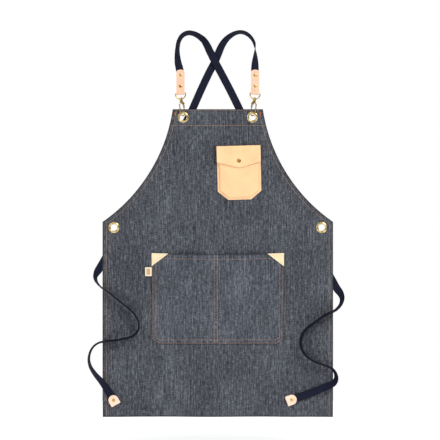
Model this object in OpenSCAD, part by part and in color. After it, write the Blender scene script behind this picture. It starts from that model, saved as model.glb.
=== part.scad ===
// Cross-back work apron with clip-on shoulder straps, hung from the top of its two strap arcs.
// The origin is midway between the tops of the arcs. +X is to the right as the front is faced,
// the front faces -Y and +Z is up.

/* [Panel] */
// Width of the skirt, side hem to side hem
skirt_w = 599; // [500:1:700]
// Width of the bib at its top edge
bib_w = 234; // [200:1:280]
// Distance from the strap tops down to the bib's top edge
bib_drop = 206; // [190:1:240]
// Distance from the bib's top edge down to the waist corners
armhole_h = 293; // [240:1:330]
// Radius of the armhole curve
armhole_r = 436; // [300:1:600]
// Distance from the waist corners down to the bottom hem
skirt_h = 507; // [440:1:640]
// Thickness of the denim
cloth_t = 1; // [0.8:0.1:1.5]
// Width of the folded hems at the sides and armholes
hem_w = 11; // [8:1:15]
// Height of the folded hem at the bottom
bottom_hem_h = 20; // [12:1:30]
// Height of the facing behind the bib's top edge
facing_h = 41; // [38:1:60]

/* [Lower pocket] */
// Width of the lower pocket
pocket_w = 344; // [280:1:380]
// Height of the lower pocket
pocket_h = 237; // [180:1:280]
// Distance from the waist corners down to the pocket's mouth
pocket_drop = 81; // [70:1:110]
// Room between the pocket's front and the panel
pocket_gap = 5; // [4.6:0.1:10]
// Middle of the sewn line that divides the pocket
divider_x = -5; // [-60:1:60]
// Width of the sewn line that divides the pocket
divider_w = 10; // [6:1:14]
// Width and height of the cut bottom corners
pocket_cut = [17, 13];
// Width and height of the leather patch at each top corner
patch_size = [43, 34];
// Thickness of the patches, the side label and the tie tabs
thin_leather_t = 1.4; // [1:0.1:2]
// Width and height of the side label
label_size = [17, 23];
// Distance from the pocket's mouth down to the side label
label_drop = 37; // [20:1:80]

/* [Chest pocket] */
// Width of the leather chest pocket
chest_w = 113; // [90:1:140]
// Height of the leather chest pocket
chest_h = 140; // [110:1:160]
// Middle of the chest pocket, right of the panel's middle
chest_x = 53.5; // [30:0.5:60]
// Distance from the bib's top edge down to the chest pocket
chest_drop = 95; // [80:1:120]
// Turn of the chest pocket against the panel, in degrees
chest_lean = 1.5; // [0:0.1:3]
// Thickness of the chest pocket's leather
leather_t = 1.6; // [1.2:0.1:2.4]
// Distance from the pocket's top down to its mouth
mouth_drop = 16; // [10:1:24]
// Length of the flap at its sides
flap_side_h = 42; // [36:1:56]
// Length of the flap at its point
flap_point_h = 57; // [50:1:70]
// Distance from the pocket's top down to the snap
snap_drop = 39; // [28:1:44]
// Radius of the snap's cap
snap_r = 5.5; // [4.5:0.1:7]
// Width and height of the chest pocket's cut bottom corners
chest_cut = [27, 22];

/* [Eyelets] */
// Radius of the hole through an eyelet
eyelet_r = 8.5; // [8:0.1:10]
// Radius of an eyelet's rim
eyelet_rim_r = 14.6; // [13:0.1:16]
// Distance of a bib eyelet from the panel's middle
bib_eyelet_x = 90; // [80:1:95]
// Distance from the bib's top edge down to the bib eyelets
bib_eyelet_drop = 20.5; // [19.5:0.5:24]
// Distance of a waist eyelet in from the side edge
waist_eyelet_in = 29.5; // [26:0.5:45]
// Distance from the waist corners down to the waist eyelets
waist_eyelet_drop = 14.5; // [12:0.5:40]

/* [Straps] */
// Width of the webbing
web_w = 20; // [18:0.5:22]
// Thickness of the webbing
web_t = 1.6; // [1.2:0.1:2]
// Distance of a strap's leather end from the panel's middle
strap_x = 97; // [95:0.5:99]
// Width of a leather strap end
loop_w = 22; // [21:0.5:26]
// Length of a leather strap end above the ring's bar
loop_l = 62; // [50:1:70]
// Thickness of one layer of a leather strap end
loop_t = 2; // [1.4:0.1:2.6]
// Radius of a rivet's head
rivet_r = 4.5; // [3.5:0.1:5.5]
// Width of a tab on a tie's end
tab_w = 26; // [24:0.5:30]
// Length of a tab on a tie's end
tab_l = 27; // [24:0.5:32]

/* [Snap hooks] */
// Radius of the wire of the D-ring
ring_wire_r = 1.4; // [1.2:0.1:1.5]
// Width of the D-ring over the wire
ring_w = 28.6; // [28:0.2:32]
// Radius of the wire of the hook
hook_wire_r = 1.6; // [1.4:0.1:1.7]
// Radius of the hook's bend, at the middle of the wire
hook_bend_r = 7.7; // [7.2:0.1:8.5]
// Distance from the D-ring's bar down to the bib's top edge
ring_rise = 41; // [39:0.5:48]
// Angle between a hook and the panel, in degrees
hook_turn = 45; // [40:1:90]
// Radius of the gate's pin
gate_pin_r = 0.8; // [0.6:0.1:1]

/* [Hidden] */
$fn = 64;

DENIM = "#484C54";
NAVY = "#1B2036";
LEATHER = "#FDD7A6";
PALE_LEATHER = "#F6C8A6";
BRASS = "#C9A24B";

// heights, measured down from the strap tops
bib_z = -bib_drop;
waist_z = bib_z - armhole_h;
hem_z = waist_z - skirt_h;
pocket_z = waist_z - pocket_drop;
chest_z = bib_z - chest_drop;
bib_eyelet_z = bib_z - bib_eyelet_drop;
waist_eyelet_x = skirt_w / 2 - waist_eyelet_in;
waist_eyelet_z = waist_z - waist_eyelet_drop;

// clearances
part_clear = 0.3;       // between pieces that move past each other
running_clear = 0.05;   // round a pin in its hole, on the radius
snap_clear = 0.4;       // round the snap's stud

// the panel's front is at -cloth_t and its back at 0; hems lie behind it
front_y = -cloth_t;

// armhole circle through the bib's corner and the waist corner
bib_corner = [bib_w / 2, bib_z];
waist_corner = [skirt_w / 2, waist_z];
chord = waist_corner - bib_corner;
armhole_c = (bib_corner + waist_corner) / 2
    + [-chord[1], chord[0]] / norm(chord) * sqrt(pow(armhole_r, 2) - pow(norm(chord) / 2, 2));

// chest pocket layers, from the panel outwards
chest_face_y = front_y - pocket_gap - leather_t;
flap_gap = 2.2;
flap_back_y = chest_face_y - flap_gap;
flap_hinge_y = flap_back_y - leather_t / 2;

// eyelets
barrel_t = 0.9;
barrel_r = eyelet_r + barrel_t;
washer_t = 0.8;
washer_r = 14;
lip_t = 0.6;
lip_w = 2.2;
rim_h = 1.6;

// snap hook, along its own axis from the swivel down
ring_bar_z = bib_z + ring_rise;
hook_pass_z = bib_eyelet_z + 3.4;    // where the bend passes through the eyelet
hook_pass_x = bib_eyelet_x + 1;
hook_lean = atan2(strap_x - hook_pass_x, ring_bar_z - hook_pass_z);
ring_bend_r = ring_w / 2 - ring_wire_r;
ring_leg = 2;
swivel_z = -ring_leg - ring_bend_r;  // middle of the ring's boss, below the bar
boss_r = 3.6;
boss_h = 5;
post_r = 2;
post_head_r = 3;
post_head_h = 1.6;
collar_r = 3.8;
collar_h = 3;
collar_z = swivel_z - boss_h / 2 - part_clear - collar_h;
hook_top_z = collar_z - hook_wire_r;
bend_z = hook_bend_r - norm([strap_x - hook_pass_x, ring_bar_z - hook_pass_z]);
hook_leg = hook_top_z - hook_bend_r - bend_z;
nose_h = 10;
gate_pivot = [hook_bend_r - 2.4, hook_top_z - 4.2];
gate_eye_r = 2.2;
lug_r = 2.9;
lug_t = 5.4;
lug_slot = 3;
gate_eye_t = 1.5;
gate_t = 2.4;
spring_t = 0.8;

// strap ends and rivets
layer_y = web_t / 2 + loop_t;
rivet_shank_r = 1.8;
rivet_head_h = 1.2;
rivet_drops = [15, 43.5];            // from the strap end's top down to its rivets
strap_end_z = ring_bar_z + loop_l;

// Route of each webbing: [x, y, z, turn]. The turn is 0 where the flat faces the front and 90 where
// the webbing stands on edge.
LEFT_SHOULDER_ROUTE = [
    [-97, 0, -157, 0], [-97, 0, -130, 0], [-99, 1, -104, 4], [-103, 4, -86, 25], [-105, 8, -68, 44],
    [-105, 13, -47, 58], [-102, 17, -29, 60], [-94.5, 20, -15, 59], [-85, 22, -8, 57], [-75, 23, -5.5, 56],
    [-62, 23, -8, 53], [-49, 22, -15, 46], [-37, 20, -25, 36], [-28.5, 18, -38, 22], [-21.5, 16, -53, 9],
    [-15, 14, -66, 2], [-7.5, 12.5, -81, 0], [10, 10.5, -114, 0], [33, 7.5, -158, 0], [56, 4.5, -205, 0],
    [61, 4.1, -216, 0], [82, 4, -258, 0], [118, 4, -324, 0], [158, 4, -396, 0], [198, 4, -469, 0],
    [238, 4, -542, 0], [268, 3.2, -597, 0], [290, 2.1, -637, 0], [300, 2, -655, 0]
];
RIGHT_SHOULDER_ROUTE = [
    [97, 0, -157, 0], [97, 0, -130, 0], [96.5, 1, -104, 4], [97, 4, -86, 28], [98, 8, -68, 56],
    [98, 12, -52, 82], [96, 16, -36, 105], [91, 19, -24, 109], [83, 21.5, -14, 113], [72, 23, -6.5, 115],
    [59, 24, -3.5, 115], [45, 24, -6.5, 119], [32, 23.5, -14, 128], [20, 22.5, -25, 140], [10, 21, -40, 155],
    [2, 19.5, -58, 170], [-7.5, 17.5, -81, 180], [-23, 14, -111, 180], [-44.5, 9.5, -157, 180],
    [-65.5, 4.7, -205, 180], [-70, 4.2, -215, 180], [-91.5, 4, -255, 180], [-128, 4, -318, 180],
    [-166, 4, -382, 180], [-204, 4, -446, 180], [-244, 4, -513, 180], [-272, 3.2, -560, 180],
    [-292, 2.1, -593, 180], [-302, 2, -610, 180]
];
LEFT_TIE_ROUTE = [
    [-302, 2, -610, 0], [-309, 2, -622, 0], [-315, -0.5, -633, 32], [-317.5, -4.5, -645, 56],
    [-312, -9.5, -658, 72], [-302, -12.5, -669, 78], [-279, -13, -686, 79], [-256, -13, -704, 79],
    [-230, -13, -725, 79], [-213, -13, -743, 79], [-205, -13, -763, 79], [-207.5, -13, -782, 79],
    [-219, -13, -794, 79], [-240, -13, -801, 79], [-266, -13, -806, 79], [-296, -13, -809, 80],
    [-315, -13, -816, 79], [-328, -13, -830, 76], [-334.5, -13, -853, 70], [-331, -13, -873, 62],
    [-319, -12.5, -893, 50], [-303, -10.5, -912, 36], [-289, -7, -931, 18], [-279, -5, -948, 4],
    [-270, -4.8, -964, 0]];
RIGHT_TIE_ROUTE = [
    [300, 2, -655, 0], [309.5, 2, -672, 0], [319, -1, -685, 32], [323, -5.5, -697, 54],
    [320, -10, -711, 68], [310, -12.5, -724, 74], [300, -13, -731, 76], [288, -13, -736, 76],
    [266, -13, -749, 76], [249, -13, -761.5, 76], [234, -13, -773, 76], [221.5, -13, -787, 76],
    [215.5, -13, -806, 76], [217.5, -13, -827, 76], [227, -13, -844, 76], [248, -13, -860, 77],
    [271, -13, -869.5, 77], [288, -13, -875, 76], [299, -13, -882, 74], [306, -13, -894, 68],
    [307, -13, -906, 58], [301, -12.5, -917, 44], [285, -9.5, -925, 28], [261, -6, -935.5, 12],
    [230, -5, -947.5, 2], [207, -4.8, -955.5, 0], [192, -4.8, -961, 0]];
tab_y = -4.8;
LEFT_TAB = [-271, -962, 60.6];       // x, z and the angle below level of the tie's last stretch
RIGHT_TAB = [192, -961, 159.9];

// One flat ring of a strap's outline, 8 points, its corners cut by a quarter of the thickness
function web_outline() = let (w = web_w / 2, h = web_t / 2, c = web_t / 4)
    [[w, c - h], [w, h - c], [w - c, h], [c - w, h], [-w, h - c], [-w, c - h], [c - w, -h], [w - c, -h]];
function unit(v) = v / norm(v);
function place(p) = [p[0], p[1], p[2]];
function heading(route, i) =
    unit(place(route[min(i + 1, len(route) - 1)]) - place(route[max(i - 1, 0)]));
function ring_at(route, i) = let (
        t = heading(route, i),
        n = unit(cross([0, 1, 0], t)),
        b = cross(t, n),
        across = n * cos(route[i][3]) + b * sin(route[i][3]),
        up = cross(t, across))
    [for (q = web_outline()) place(route[i]) + across * q[0] + up * q[1]];

// A webbing swept along its route: a closed tube of flat rings. Its front and back are split along the
// same diagonal, so that a twisted length keeps its thickness.
module webbing(route) {
    k = len(web_outline());
    last = len(route) - 1;
    points = [for (i = [0:last]) each ring_at(route, i)];
    walls = [for (i = [0:last - 1], j = [0:k - 1]) let (
            a = i * k + j,
            b = i * k + (j + 1) % k)
        each j < k / 2
            ? [[a, b, b + k], [a, b + k, a + k]]
            : [[a, b, a + k], [b, b + k, a + k]]];
    start_cap = [for (j = [1:k - 2]) [0, j + 1, j]];
    end_cap = [for (j = [1:k - 2]) [last * k, last * k + j, last * k + j + 1]];
    polyhedron(points, concat(walls, start_cap, end_cap), convexity = 8);
}

// A flat piece in the plane of the panel, from y to y + t
module upright(y, t) {
    translate([0, y + t, 0])
        rotate([90, 0, 0])
            linear_extrude(t)
                children();
}

module mirrored(side) {
    if (side > 0) children();
    else mirror([1, 0, 0]) children();
}

// ---- panel and hems ----

// Disc that cuts an armhole, grown by extra
module armhole_disc(side, extra = 0) {
    translate([side * armhole_c[0], armhole_c[1]])
        circle(armhole_r + extra, $fn = 256);
}

module panel_outline() {
    difference() {
        polygon([
            [-bib_w / 2, bib_z], [bib_w / 2, bib_z], [skirt_w / 2, waist_z],
            [skirt_w / 2, hem_z], [-skirt_w / 2, hem_z], [-skirt_w / 2, waist_z]
        ]);
        for (side = [-1, 1]) armhole_disc(side);
    }
}

// The part of the panel's outline between two heights
module panel_between(low, high) {
    intersection() {
        panel_outline();
        translate([-skirt_w, low]) square([2 * skirt_w, high - low]);
    }
}

module eyelet_holes(x, z) {
    for (side = [-1, 1]) translate([side * x, z]) circle(barrel_r);
}

module body_panel() {
    color(DENIM) upright(front_y, cloth_t) difference() {
        panel_outline();
        eyelet_holes(bib_eyelet_x, bib_eyelet_z);
        eyelet_holes(waist_eyelet_x, waist_eyelet_z);
    }
}

module bib_facing() {
    color(DENIM) upright(0, cloth_t) difference() {
        panel_between(bib_z - facing_h, bib_z + 1);
        for (side = [-1, 1]) armhole_disc(side, hem_w);
        eyelet_holes(bib_eyelet_x, bib_eyelet_z);
    }
}

module armhole_hem(side) {
    color(DENIM) upright(0, cloth_t) intersection() {
        panel_outline();
        armhole_disc(side, hem_w);
    }
}

module side_hem(side) {
    color(DENIM) upright(0, cloth_t) difference() {
        intersection() {
            panel_between(hem_z + bottom_hem_h, waist_z);
            mirrored(side)
                translate([skirt_w / 2 - hem_w, hem_z]) square([hem_w + 1, skirt_h]);
        }
        armhole_disc(side, hem_w);
    }
}

module bottom_hem() {
    color(DENIM) upright(0, cloth_t) panel_between(hem_z - 1, hem_z + bottom_hem_h);
}

// ---- lower pocket ----

// Outline of a pocket with cut bottom corners, its top middle at the origin, drawn in by inset
module pocket_outline(w, h, cut, inset = 0) {
    x = w / 2 - inset;
    z = inset - h;
    polygon([[-x, 0], [x, 0], [x, cut[1] - h], [x - cut[0], z], [cut[0] - x, z], [-x, cut[1] - h]]);
}

module lower_pocket() {
    color(DENIM) translate([0, 0, pocket_z]) difference() {
        upright(front_y - pocket_gap - cloth_t, pocket_gap + cloth_t)
            pocket_outline(pocket_w, pocket_h, pocket_cut);
        upright(front_y - pocket_gap, pocket_gap + 1) difference() {
            translate([0, 0.001]) pocket_outline(pocket_w, pocket_h, pocket_cut, cloth_t);
            translate([divider_x - divider_w / 2, -pocket_h - 1]) square([divider_w, pocket_h + 2]);
        }
    }
}

module corner_patch(side) {
    color(LEATHER) translate([0, 0, pocket_z])
        upright(front_y - pocket_gap - cloth_t - thin_leather_t, thin_leather_t)
            mirrored(side) polygon([
                [pocket_w / 2, 0], [pocket_w / 2, -patch_size[1]], [pocket_w / 2 - patch_size[0], 0]
            ]);
}

module side_label() {
    color(LEATHER) upright(front_y - thin_leather_t, thin_leather_t)
        translate([-pocket_w / 2 - label_size[0], pocket_z - label_drop - label_size[1]])
            square(label_size);
}

// ---- chest pocket and flap ----

module chest_frame() {
    translate([chest_x, 0, chest_z]) rotate([0, -chest_lean, 0]) children();
}

module chest_pocket() {
    color(LEATHER) chest_frame() difference() {
        upright(chest_face_y, pocket_gap + leather_t)
            pocket_outline(chest_w, chest_h, chest_cut);
        upright(front_y - pocket_gap, pocket_gap + 1)
            translate([0, 0.001]) pocket_outline(chest_w, chest_h, chest_cut, leather_t);
        translate([-chest_w, chest_face_y - 1, -mouth_drop]) cube([2 * chest_w, -chest_face_y + 2, mouth_drop + 1]);
        translate([0, 0, -snap_drop]) rotate([90, 0, 0]) cylinder(r = 1.2, h = 20);
    }
}

module flap_band() {
    color(LEATHER) chest_frame()
        translate([-chest_w / 2, flap_back_y + part_clear, -leather_t])
            cube([chest_w, front_y - flap_back_y - part_clear, leather_t]);
}

module chest_flap() {
    color(LEATHER) chest_frame() {
        difference() {
            upright(flap_hinge_y - leather_t / 2, leather_t) polygon([
                [-chest_w / 2, -leather_t / 2], [chest_w / 2, -leather_t / 2], [chest_w / 2, -flap_side_h],
                [3, -flap_point_h], [-chest_w / 2, -flap_side_h]
            ]);
            translate([0, 0, -snap_drop]) rotate([90, 0, 0]) cylinder(r = 1.5, h = 20);
        }
        translate([-chest_w / 2, flap_hinge_y, -leather_t / 2])
            rotate([0, 90, 0]) cylinder(r = leather_t / 2, h = chest_w);
    }
}

// Local frame at the snap, with +Z out of the flap's front
module snap_frame(y) {
    chest_frame() translate([0, y, -snap_drop]) rotate([90, 0, 0]) children();
}

module snap_cap() {
    cap_h = 1.6;
    sphere_r = (pow(snap_r, 2) + pow(cap_h, 2)) / (2 * cap_h);
    color(BRASS) snap_frame(flap_back_y - leather_t) {
        intersection() {
            translate([0, 0, cap_h - sphere_r]) sphere(sphere_r);
            cylinder(r = snap_r + 1, h = cap_h + 1);
        }
        translate([0, 0, -leather_t]) cylinder(r = 1.5, h = leather_t);
    }
}

module snap_socket() {
    color(BRASS) snap_frame(flap_back_y) translate([0, 0, snap_clear - flap_gap]) difference() {
        cylinder(r = 5.2, h = flap_gap - snap_clear);
        translate([0, 0, -1]) cylinder(r = 2.4 + snap_clear, h = flap_gap - snap_clear - 0.3 + 1);
    }
}

module snap_stud() {
    color(BRASS) snap_frame(chest_face_y) {
        cylinder(r = 2.4, h = flap_gap - 2 * snap_clear);
        translate([0, 0, -leather_t]) cylinder(r = 1.2, h = leather_t);
        translate([0, 0, -leather_t - 0.4]) cylinder(r = 4, h = 0.4);
    }
}

// ---- eyelets ----

// Local frame at an eyelet on the panel's front, with +Z towards the viewer
module eyelet_frame(side, x, z) {
    translate([side * x, front_y, z]) rotate([90, 0, 0]) children();
}

module eyelet(layers) {
    back = -layers * cloth_t - washer_t - lip_t;
    rim_w = eyelet_rim_r - eyelet_r;
    dome_r = (pow(rim_w / 2, 2) + pow(rim_h, 2)) / (2 * rim_h);
    color(BRASS) rotate_extrude($fn = 96) {
        translate([eyelet_r, back]) square([barrel_t, rim_h / 2 - back]);
        translate([eyelet_r, back]) square([lip_w, lip_t]);
        intersection() {
            translate([eyelet_r + rim_w / 2, rim_h - dome_r]) circle(dome_r);
            translate([eyelet_r, 0]) square([rim_w, rim_h]);
        }
    }
}

module washer(layers) {
    color(BRASS) translate([0, 0, -layers * cloth_t - washer_t]) difference() {
        cylinder(r = washer_r, h = washer_t, $fn = 96);
        translate([0, 0, -1]) cylinder(r = barrel_r, h = washer_t + 2, $fn = 96);
    }
}

module bib_eyelet(side) { eyelet_frame(side, bib_eyelet_x, bib_eyelet_z) eyelet(2); }
module waist_eyelet(side) { eyelet_frame(side, waist_eyelet_x, waist_eyelet_z) eyelet(1); }
module bib_washer(side) { eyelet_frame(side, bib_eyelet_x, bib_eyelet_z) washer(2); }
module waist_washer(side) { eyelet_frame(side, waist_eyelet_x, waist_eyelet_z) washer(1); }

// ---- webbing, leather ends and ties ----

module shoulder_strap(route) { color(NAVY) webbing(route); }

// Bar of thread that holds a strap to the side hem, just inside the edge
module strap_tack(route) {
    p = route[len(route) - 2];
    t = heading(route, len(route) - 2);
    color(NAVY) translate([p[0], cloth_t, p[2]])
        rotate([0, -atan2(t[2], t[0]), 0])
            translate([-1.5, 0, -web_w / 2 + 2]) cube([3, p[1] - web_t / 2 - cloth_t - 0.02, web_w - 4]);
}

module rivet_holes(drops) {
    for (d = drops) translate([0, 0, -d]) rotate([90, 0, 0])
        cylinder(r = rivet_shank_r, h = 40, center = true);
}

// The leather folded round the ring's bar, its top cut to an arch
module strap_end(side) {
    bore_r = ring_wire_r + running_clear;
    color(PALE_LEATHER) translate([side * strap_x, 0, 0]) difference() {
        union() {
            for (y = [-layer_y, web_t / 2]) upright(y, loop_t) intersection() {
                translate([-loop_w / 2, ring_bar_z]) square([loop_w, loop_l]);
                translate([0, strap_end_z - loop_w * 0.7]) circle(loop_w * 0.7);
            }
            for (y = [-layer_y, web_t / 2]) upright(y, loop_t)
                translate([-loop_w / 2, ring_bar_z]) square([loop_w, loop_l - loop_w * 0.7]);
            translate([-loop_w / 2, 0, ring_bar_z]) rotate([0, 90, 0])
                cylinder(r = bore_r + loop_t, h = loop_w);
        }
        translate([0, 0, ring_bar_z]) rotate([0, 90 + side * hook_lean, 0])
            cylinder(r = bore_r, h = 2 * loop_w, center = true);
        translate([-loop_w, -web_t / 2, ring_bar_z]) cube([2 * loop_w, web_t, loop_l]);
        translate([0, 0, strap_end_z]) rivet_holes(rivet_drops);
    }
}

// A rivet through a stack of the given half thickness, with +Z towards the viewer
module rivet(half) {
    head_r = (pow(rivet_r, 2) + pow(rivet_head_h, 2)) / (2 * rivet_head_h);
    for (m = [0, 1]) mirror([0, 0, m]) intersection() {
        translate([0, 0, half + rivet_head_h - head_r]) sphere(head_r);
        translate([0, 0, half]) cylinder(r = rivet_r + 1, h = rivet_head_h + 1);
    }
    translate([0, 0, -half]) cylinder(r = rivet_shank_r, h = 2 * half);
}

module strap_rivets(side) {
    color(BRASS) for (d = rivet_drops)
        translate([side * strap_x, 0, strap_end_z - d]) rotate([90, 0, 0]) rivet(layer_y);
}

module waist_tie(route) { color(NAVY) webbing(route); }

// Local frame of a tab: +X along the tie towards its end
module tab_frame(tab) {
    translate([tab[0], tab_y, tab[1]]) rotate([0, tab[2], 0]) children();
}

module tie_tab(tab) {
    half = web_t / 2 + thin_leather_t;
    end_x = tab_l - tab_w / 2;
    color(PALE_LEATHER) tab_frame(tab) difference() {
        union() {
            upright(-half, 2 * half) circle(tab_w / 2);
            translate([0, -half, -tab_w / 2]) cube([end_x, 2 * half, tab_w]);
        }
        translate([-tab_w, -web_t / 2, -tab_w]) cube([tab_w + end_x - thin_leather_t, web_t, 2 * tab_w]);
        rivet_holes([0]);
    }
}

module tab_rivet(tab) {
    color(BRASS) tab_frame(tab) rotate([90, 0, 0]) rivet(web_t / 2 + thin_leather_t);
}

// ---- snap hooks ----

// Frame of a snap hook: origin at the middle of the D-ring's bar, -Z towards the eyelet
module ring_frame(side) {
    mirrored(side) translate([strap_x, 0, ring_bar_z]) rotate([0, hook_lean, 0]) children();
}

// The hook's own plane: +X towards the gate, which is behind the bib
module hook_frame(side) {
    ring_frame(side) rotate([0, 0, 180 - hook_turn]) children();
}

module d_ring(side) {
    color(BRASS) ring_frame(side) difference() {
        union() {
            translate([-ring_bend_r, 0, 0]) rotate([0, 90, 0]) cylinder(r = ring_wire_r, h = 2 * ring_bend_r);
            for (s = [-1, 1]) {
                translate([s * ring_bend_r, 0, -ring_leg]) cylinder(r = ring_wire_r, h = ring_leg);
                translate([s * ring_bend_r, 0, 0]) sphere(ring_wire_r);
            }
            translate([0, 0, -ring_leg]) rotate([-90, 0, 0])
                rotate_extrude(angle = 180) translate([ring_bend_r, 0]) circle(ring_wire_r);
            translate([0, 0, swivel_z - boss_h / 2]) cylinder(r = boss_r, h = boss_h);
        }
        translate([0, 0, swivel_z - boss_h]) cylinder(r = post_r + running_clear, h = 2 * boss_h);
    }
}

module hook(side) {
    color(BRASS) hook_frame(side) difference() {
        union() {
            // swivel post, its head inside the ring, and the collar under the boss
            translate([0, 0, collar_z]) cylinder(r = post_r, h = swivel_z + boss_h / 2 + part_clear - collar_z);
            translate([0, 0, swivel_z + boss_h / 2 + part_clear]) cylinder(r = post_head_r, h = post_head_h);
            translate([0, 0, collar_z]) cylinder(r = collar_r, h = collar_h);
            // shoulder, leg, bend and nose
            translate([0, 0, hook_top_z - hook_bend_r]) rotate([90, 0, 0]) rotate([0, 0, 90])
                rotate_extrude(angle = 90) translate([hook_bend_r, 0]) circle(hook_wire_r);
            translate([-hook_bend_r, 0, bend_z]) cylinder(r = hook_wire_r, h = hook_leg);
            translate([0, 0, bend_z]) rotate([-90, 0, 0])
                rotate_extrude(angle = 180) translate([hook_bend_r, 0]) circle(hook_wire_r);
            translate([hook_bend_r, 0, bend_z]) cylinder(r = hook_wire_r, h = nose_h);
            translate([hook_bend_r, 0, bend_z + nose_h]) sphere(hook_wire_r);
            // lug that carries the gate's pin
            translate([gate_pivot[0], lug_t / 2, gate_pivot[1]]) rotate([90, 0, 0])
                cylinder(r = lug_r, h = lug_t);
            upright(-lug_t / 2, lug_t) polygon([
                [-1, collar_z + 0.5], [3, collar_z + 0.5], [gate_pivot[0] + lug_r, gate_pivot[1]],
                [gate_pivot[0] - lug_r, gate_pivot[1]], [-1, hook_top_z - hook_wire_r]
            ]);
        }
        translate([gate_pivot[0] - lug_r - 3, -lug_slot / 2, gate_pivot[1] - lug_r - 3])
            cube([2 * lug_r + 6, lug_slot, lug_r + 3 + gate_eye_r + part_clear]);
        translate([gate_pivot[0], 0, gate_pivot[1]]) rotate([90, 0, 0])
            cylinder(r = gate_pin_r, h = 2 * lug_t, center = true);
    }
}

module gate_pin(side) {
    color(BRASS) hook_frame(side) translate([gate_pivot[0], 0, gate_pivot[1]]) rotate([90, 0, 0]) {
        cylinder(r = gate_pin_r, h = lug_t, center = true);
        for (m = [0, 1]) mirror([0, 0, m]) translate([0, 0, lug_t / 2]) cylinder(r = gate_pin_r * 1.6, h = 0.4);
    }
}

// Small torsion spring, a closed coil on the pin beside the gate's eye
module gate_spring(side) {
    color(BRASS) hook_frame(side)
        translate([gate_pivot[0], lug_slot / 2 - 0.1, gate_pivot[1]]) rotate([90, 0, 0]) difference() {
            cylinder(r = gate_eye_r - 0.6, h = spring_t);
            translate([0, 0, -1]) cylinder(r = gate_pin_r + running_clear, h = spring_t + 2);
        }
}

module gate(side) {
    eye_y = -lug_slot / 2 + part_clear / 2;
    tip_z = bend_z + nose_h + hook_wire_r + part_clear;
    tip_cut = 1.4;  // the tip's outer corner is cut back so that it swings clear of the nose
    color(BRASS) hook_frame(side) difference() {
        union() {
            translate([gate_pivot[0], eye_y + gate_eye_t, gate_pivot[1]]) rotate([90, 0, 0])
                cylinder(r = gate_eye_r, h = gate_eye_t);
            upright(eye_y, gate_eye_t) polygon([
                [gate_pivot[0] - gate_eye_r * 0.8, gate_pivot[1]], [gate_pivot[0] + gate_eye_r, gate_pivot[1]],
                [hook_bend_r + 1.4, gate_pivot[1] - lug_r - 1], [hook_bend_r + 1.4, tip_z + tip_cut],
                [hook_bend_r - 1.4, tip_z], [hook_bend_r - 2, gate_pivot[1] - lug_r - 1]
            ]);
            upright(-gate_t / 2, gate_t) polygon([
                [hook_bend_r - 2, gate_pivot[1] - lug_r - 1], [hook_bend_r + 1.4, gate_pivot[1] - lug_r - 1],
                [hook_bend_r + 1.4, tip_z + tip_cut], [hook_bend_r - 1.4, tip_z]
            ]);
        }
        translate([gate_pivot[0], 0, gate_pivot[1]]) rotate([90, 0, 0])
            cylinder(r = gate_pin_r + running_clear, h = 2 * lug_t, center = true);
    }
}

body_panel();
bib_facing();
armhole_hem(-1);  // left_armhole_hem
armhole_hem(1);  // right_armhole_hem
side_hem(-1);  // left_side_hem
side_hem(1);  // right_side_hem
bottom_hem();
lower_pocket();
corner_patch(-1);  // left_corner_patch
corner_patch(1);  // right_corner_patch
side_label();
chest_pocket();
flap_band();
snap_stud();
chest_flap();
snap_cap();
snap_socket();
bib_eyelet(-1);  // left_bib_eyelet
bib_eyelet(1);  // right_bib_eyelet
waist_eyelet(-1);  // left_waist_eyelet
waist_eyelet(1);  // right_waist_eyelet
bib_washer(-1);  // left_bib_washer
bib_washer(1);  // right_bib_washer
waist_washer(-1);  // left_waist_washer
waist_washer(1);  // right_waist_washer
shoulder_strap(LEFT_SHOULDER_ROUTE);  // left_shoulder_strap
shoulder_strap(RIGHT_SHOULDER_ROUTE);  // right_shoulder_strap
strap_tack(RIGHT_SHOULDER_ROUTE);  // left_strap_tack
strap_tack(LEFT_SHOULDER_ROUTE);  // right_strap_tack
strap_end(-1);  // left_strap_end
strap_end(1);  // right_strap_end
strap_rivets(-1);  // left_strap_rivets
strap_rivets(1);  // right_strap_rivets
waist_tie(LEFT_TIE_ROUTE);  // left_waist_tie
waist_tie(RIGHT_TIE_ROUTE);  // right_waist_tie
tie_tab(LEFT_TAB);  // left_tie_tab
tie_tab(RIGHT_TAB);  // right_tie_tab
tab_rivet(LEFT_TAB);  // left_tab_rivet
tab_rivet(RIGHT_TAB);  // right_tab_rivet
d_ring(-1);  // left_d_ring
d_ring(1);  // right_d_ring
hook(-1);  // left_hook
hook(1);  // right_hook
gate_pin(-1);  // left_gate_pin
gate_pin(1);  // right_gate_pin
gate_spring(-1);  // left_gate_spring
gate_spring(1);  // right_gate_spring
gate(-1);  // left_gate
gate(1);  // right_gate
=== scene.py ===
# %% [markdown]
# # A denim work apron with clip-on crossed straps
# The apron hangs upright: a denim panel with a bib, one wide pocket below and a small leather pocket on
# the chest. Two webbing straps cross behind the neck and clip to brass eyelets with snap hooks. The metal
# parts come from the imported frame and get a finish; cloth, webbing, leather and thread are built here.

# %% Load the frame
import math

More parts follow.
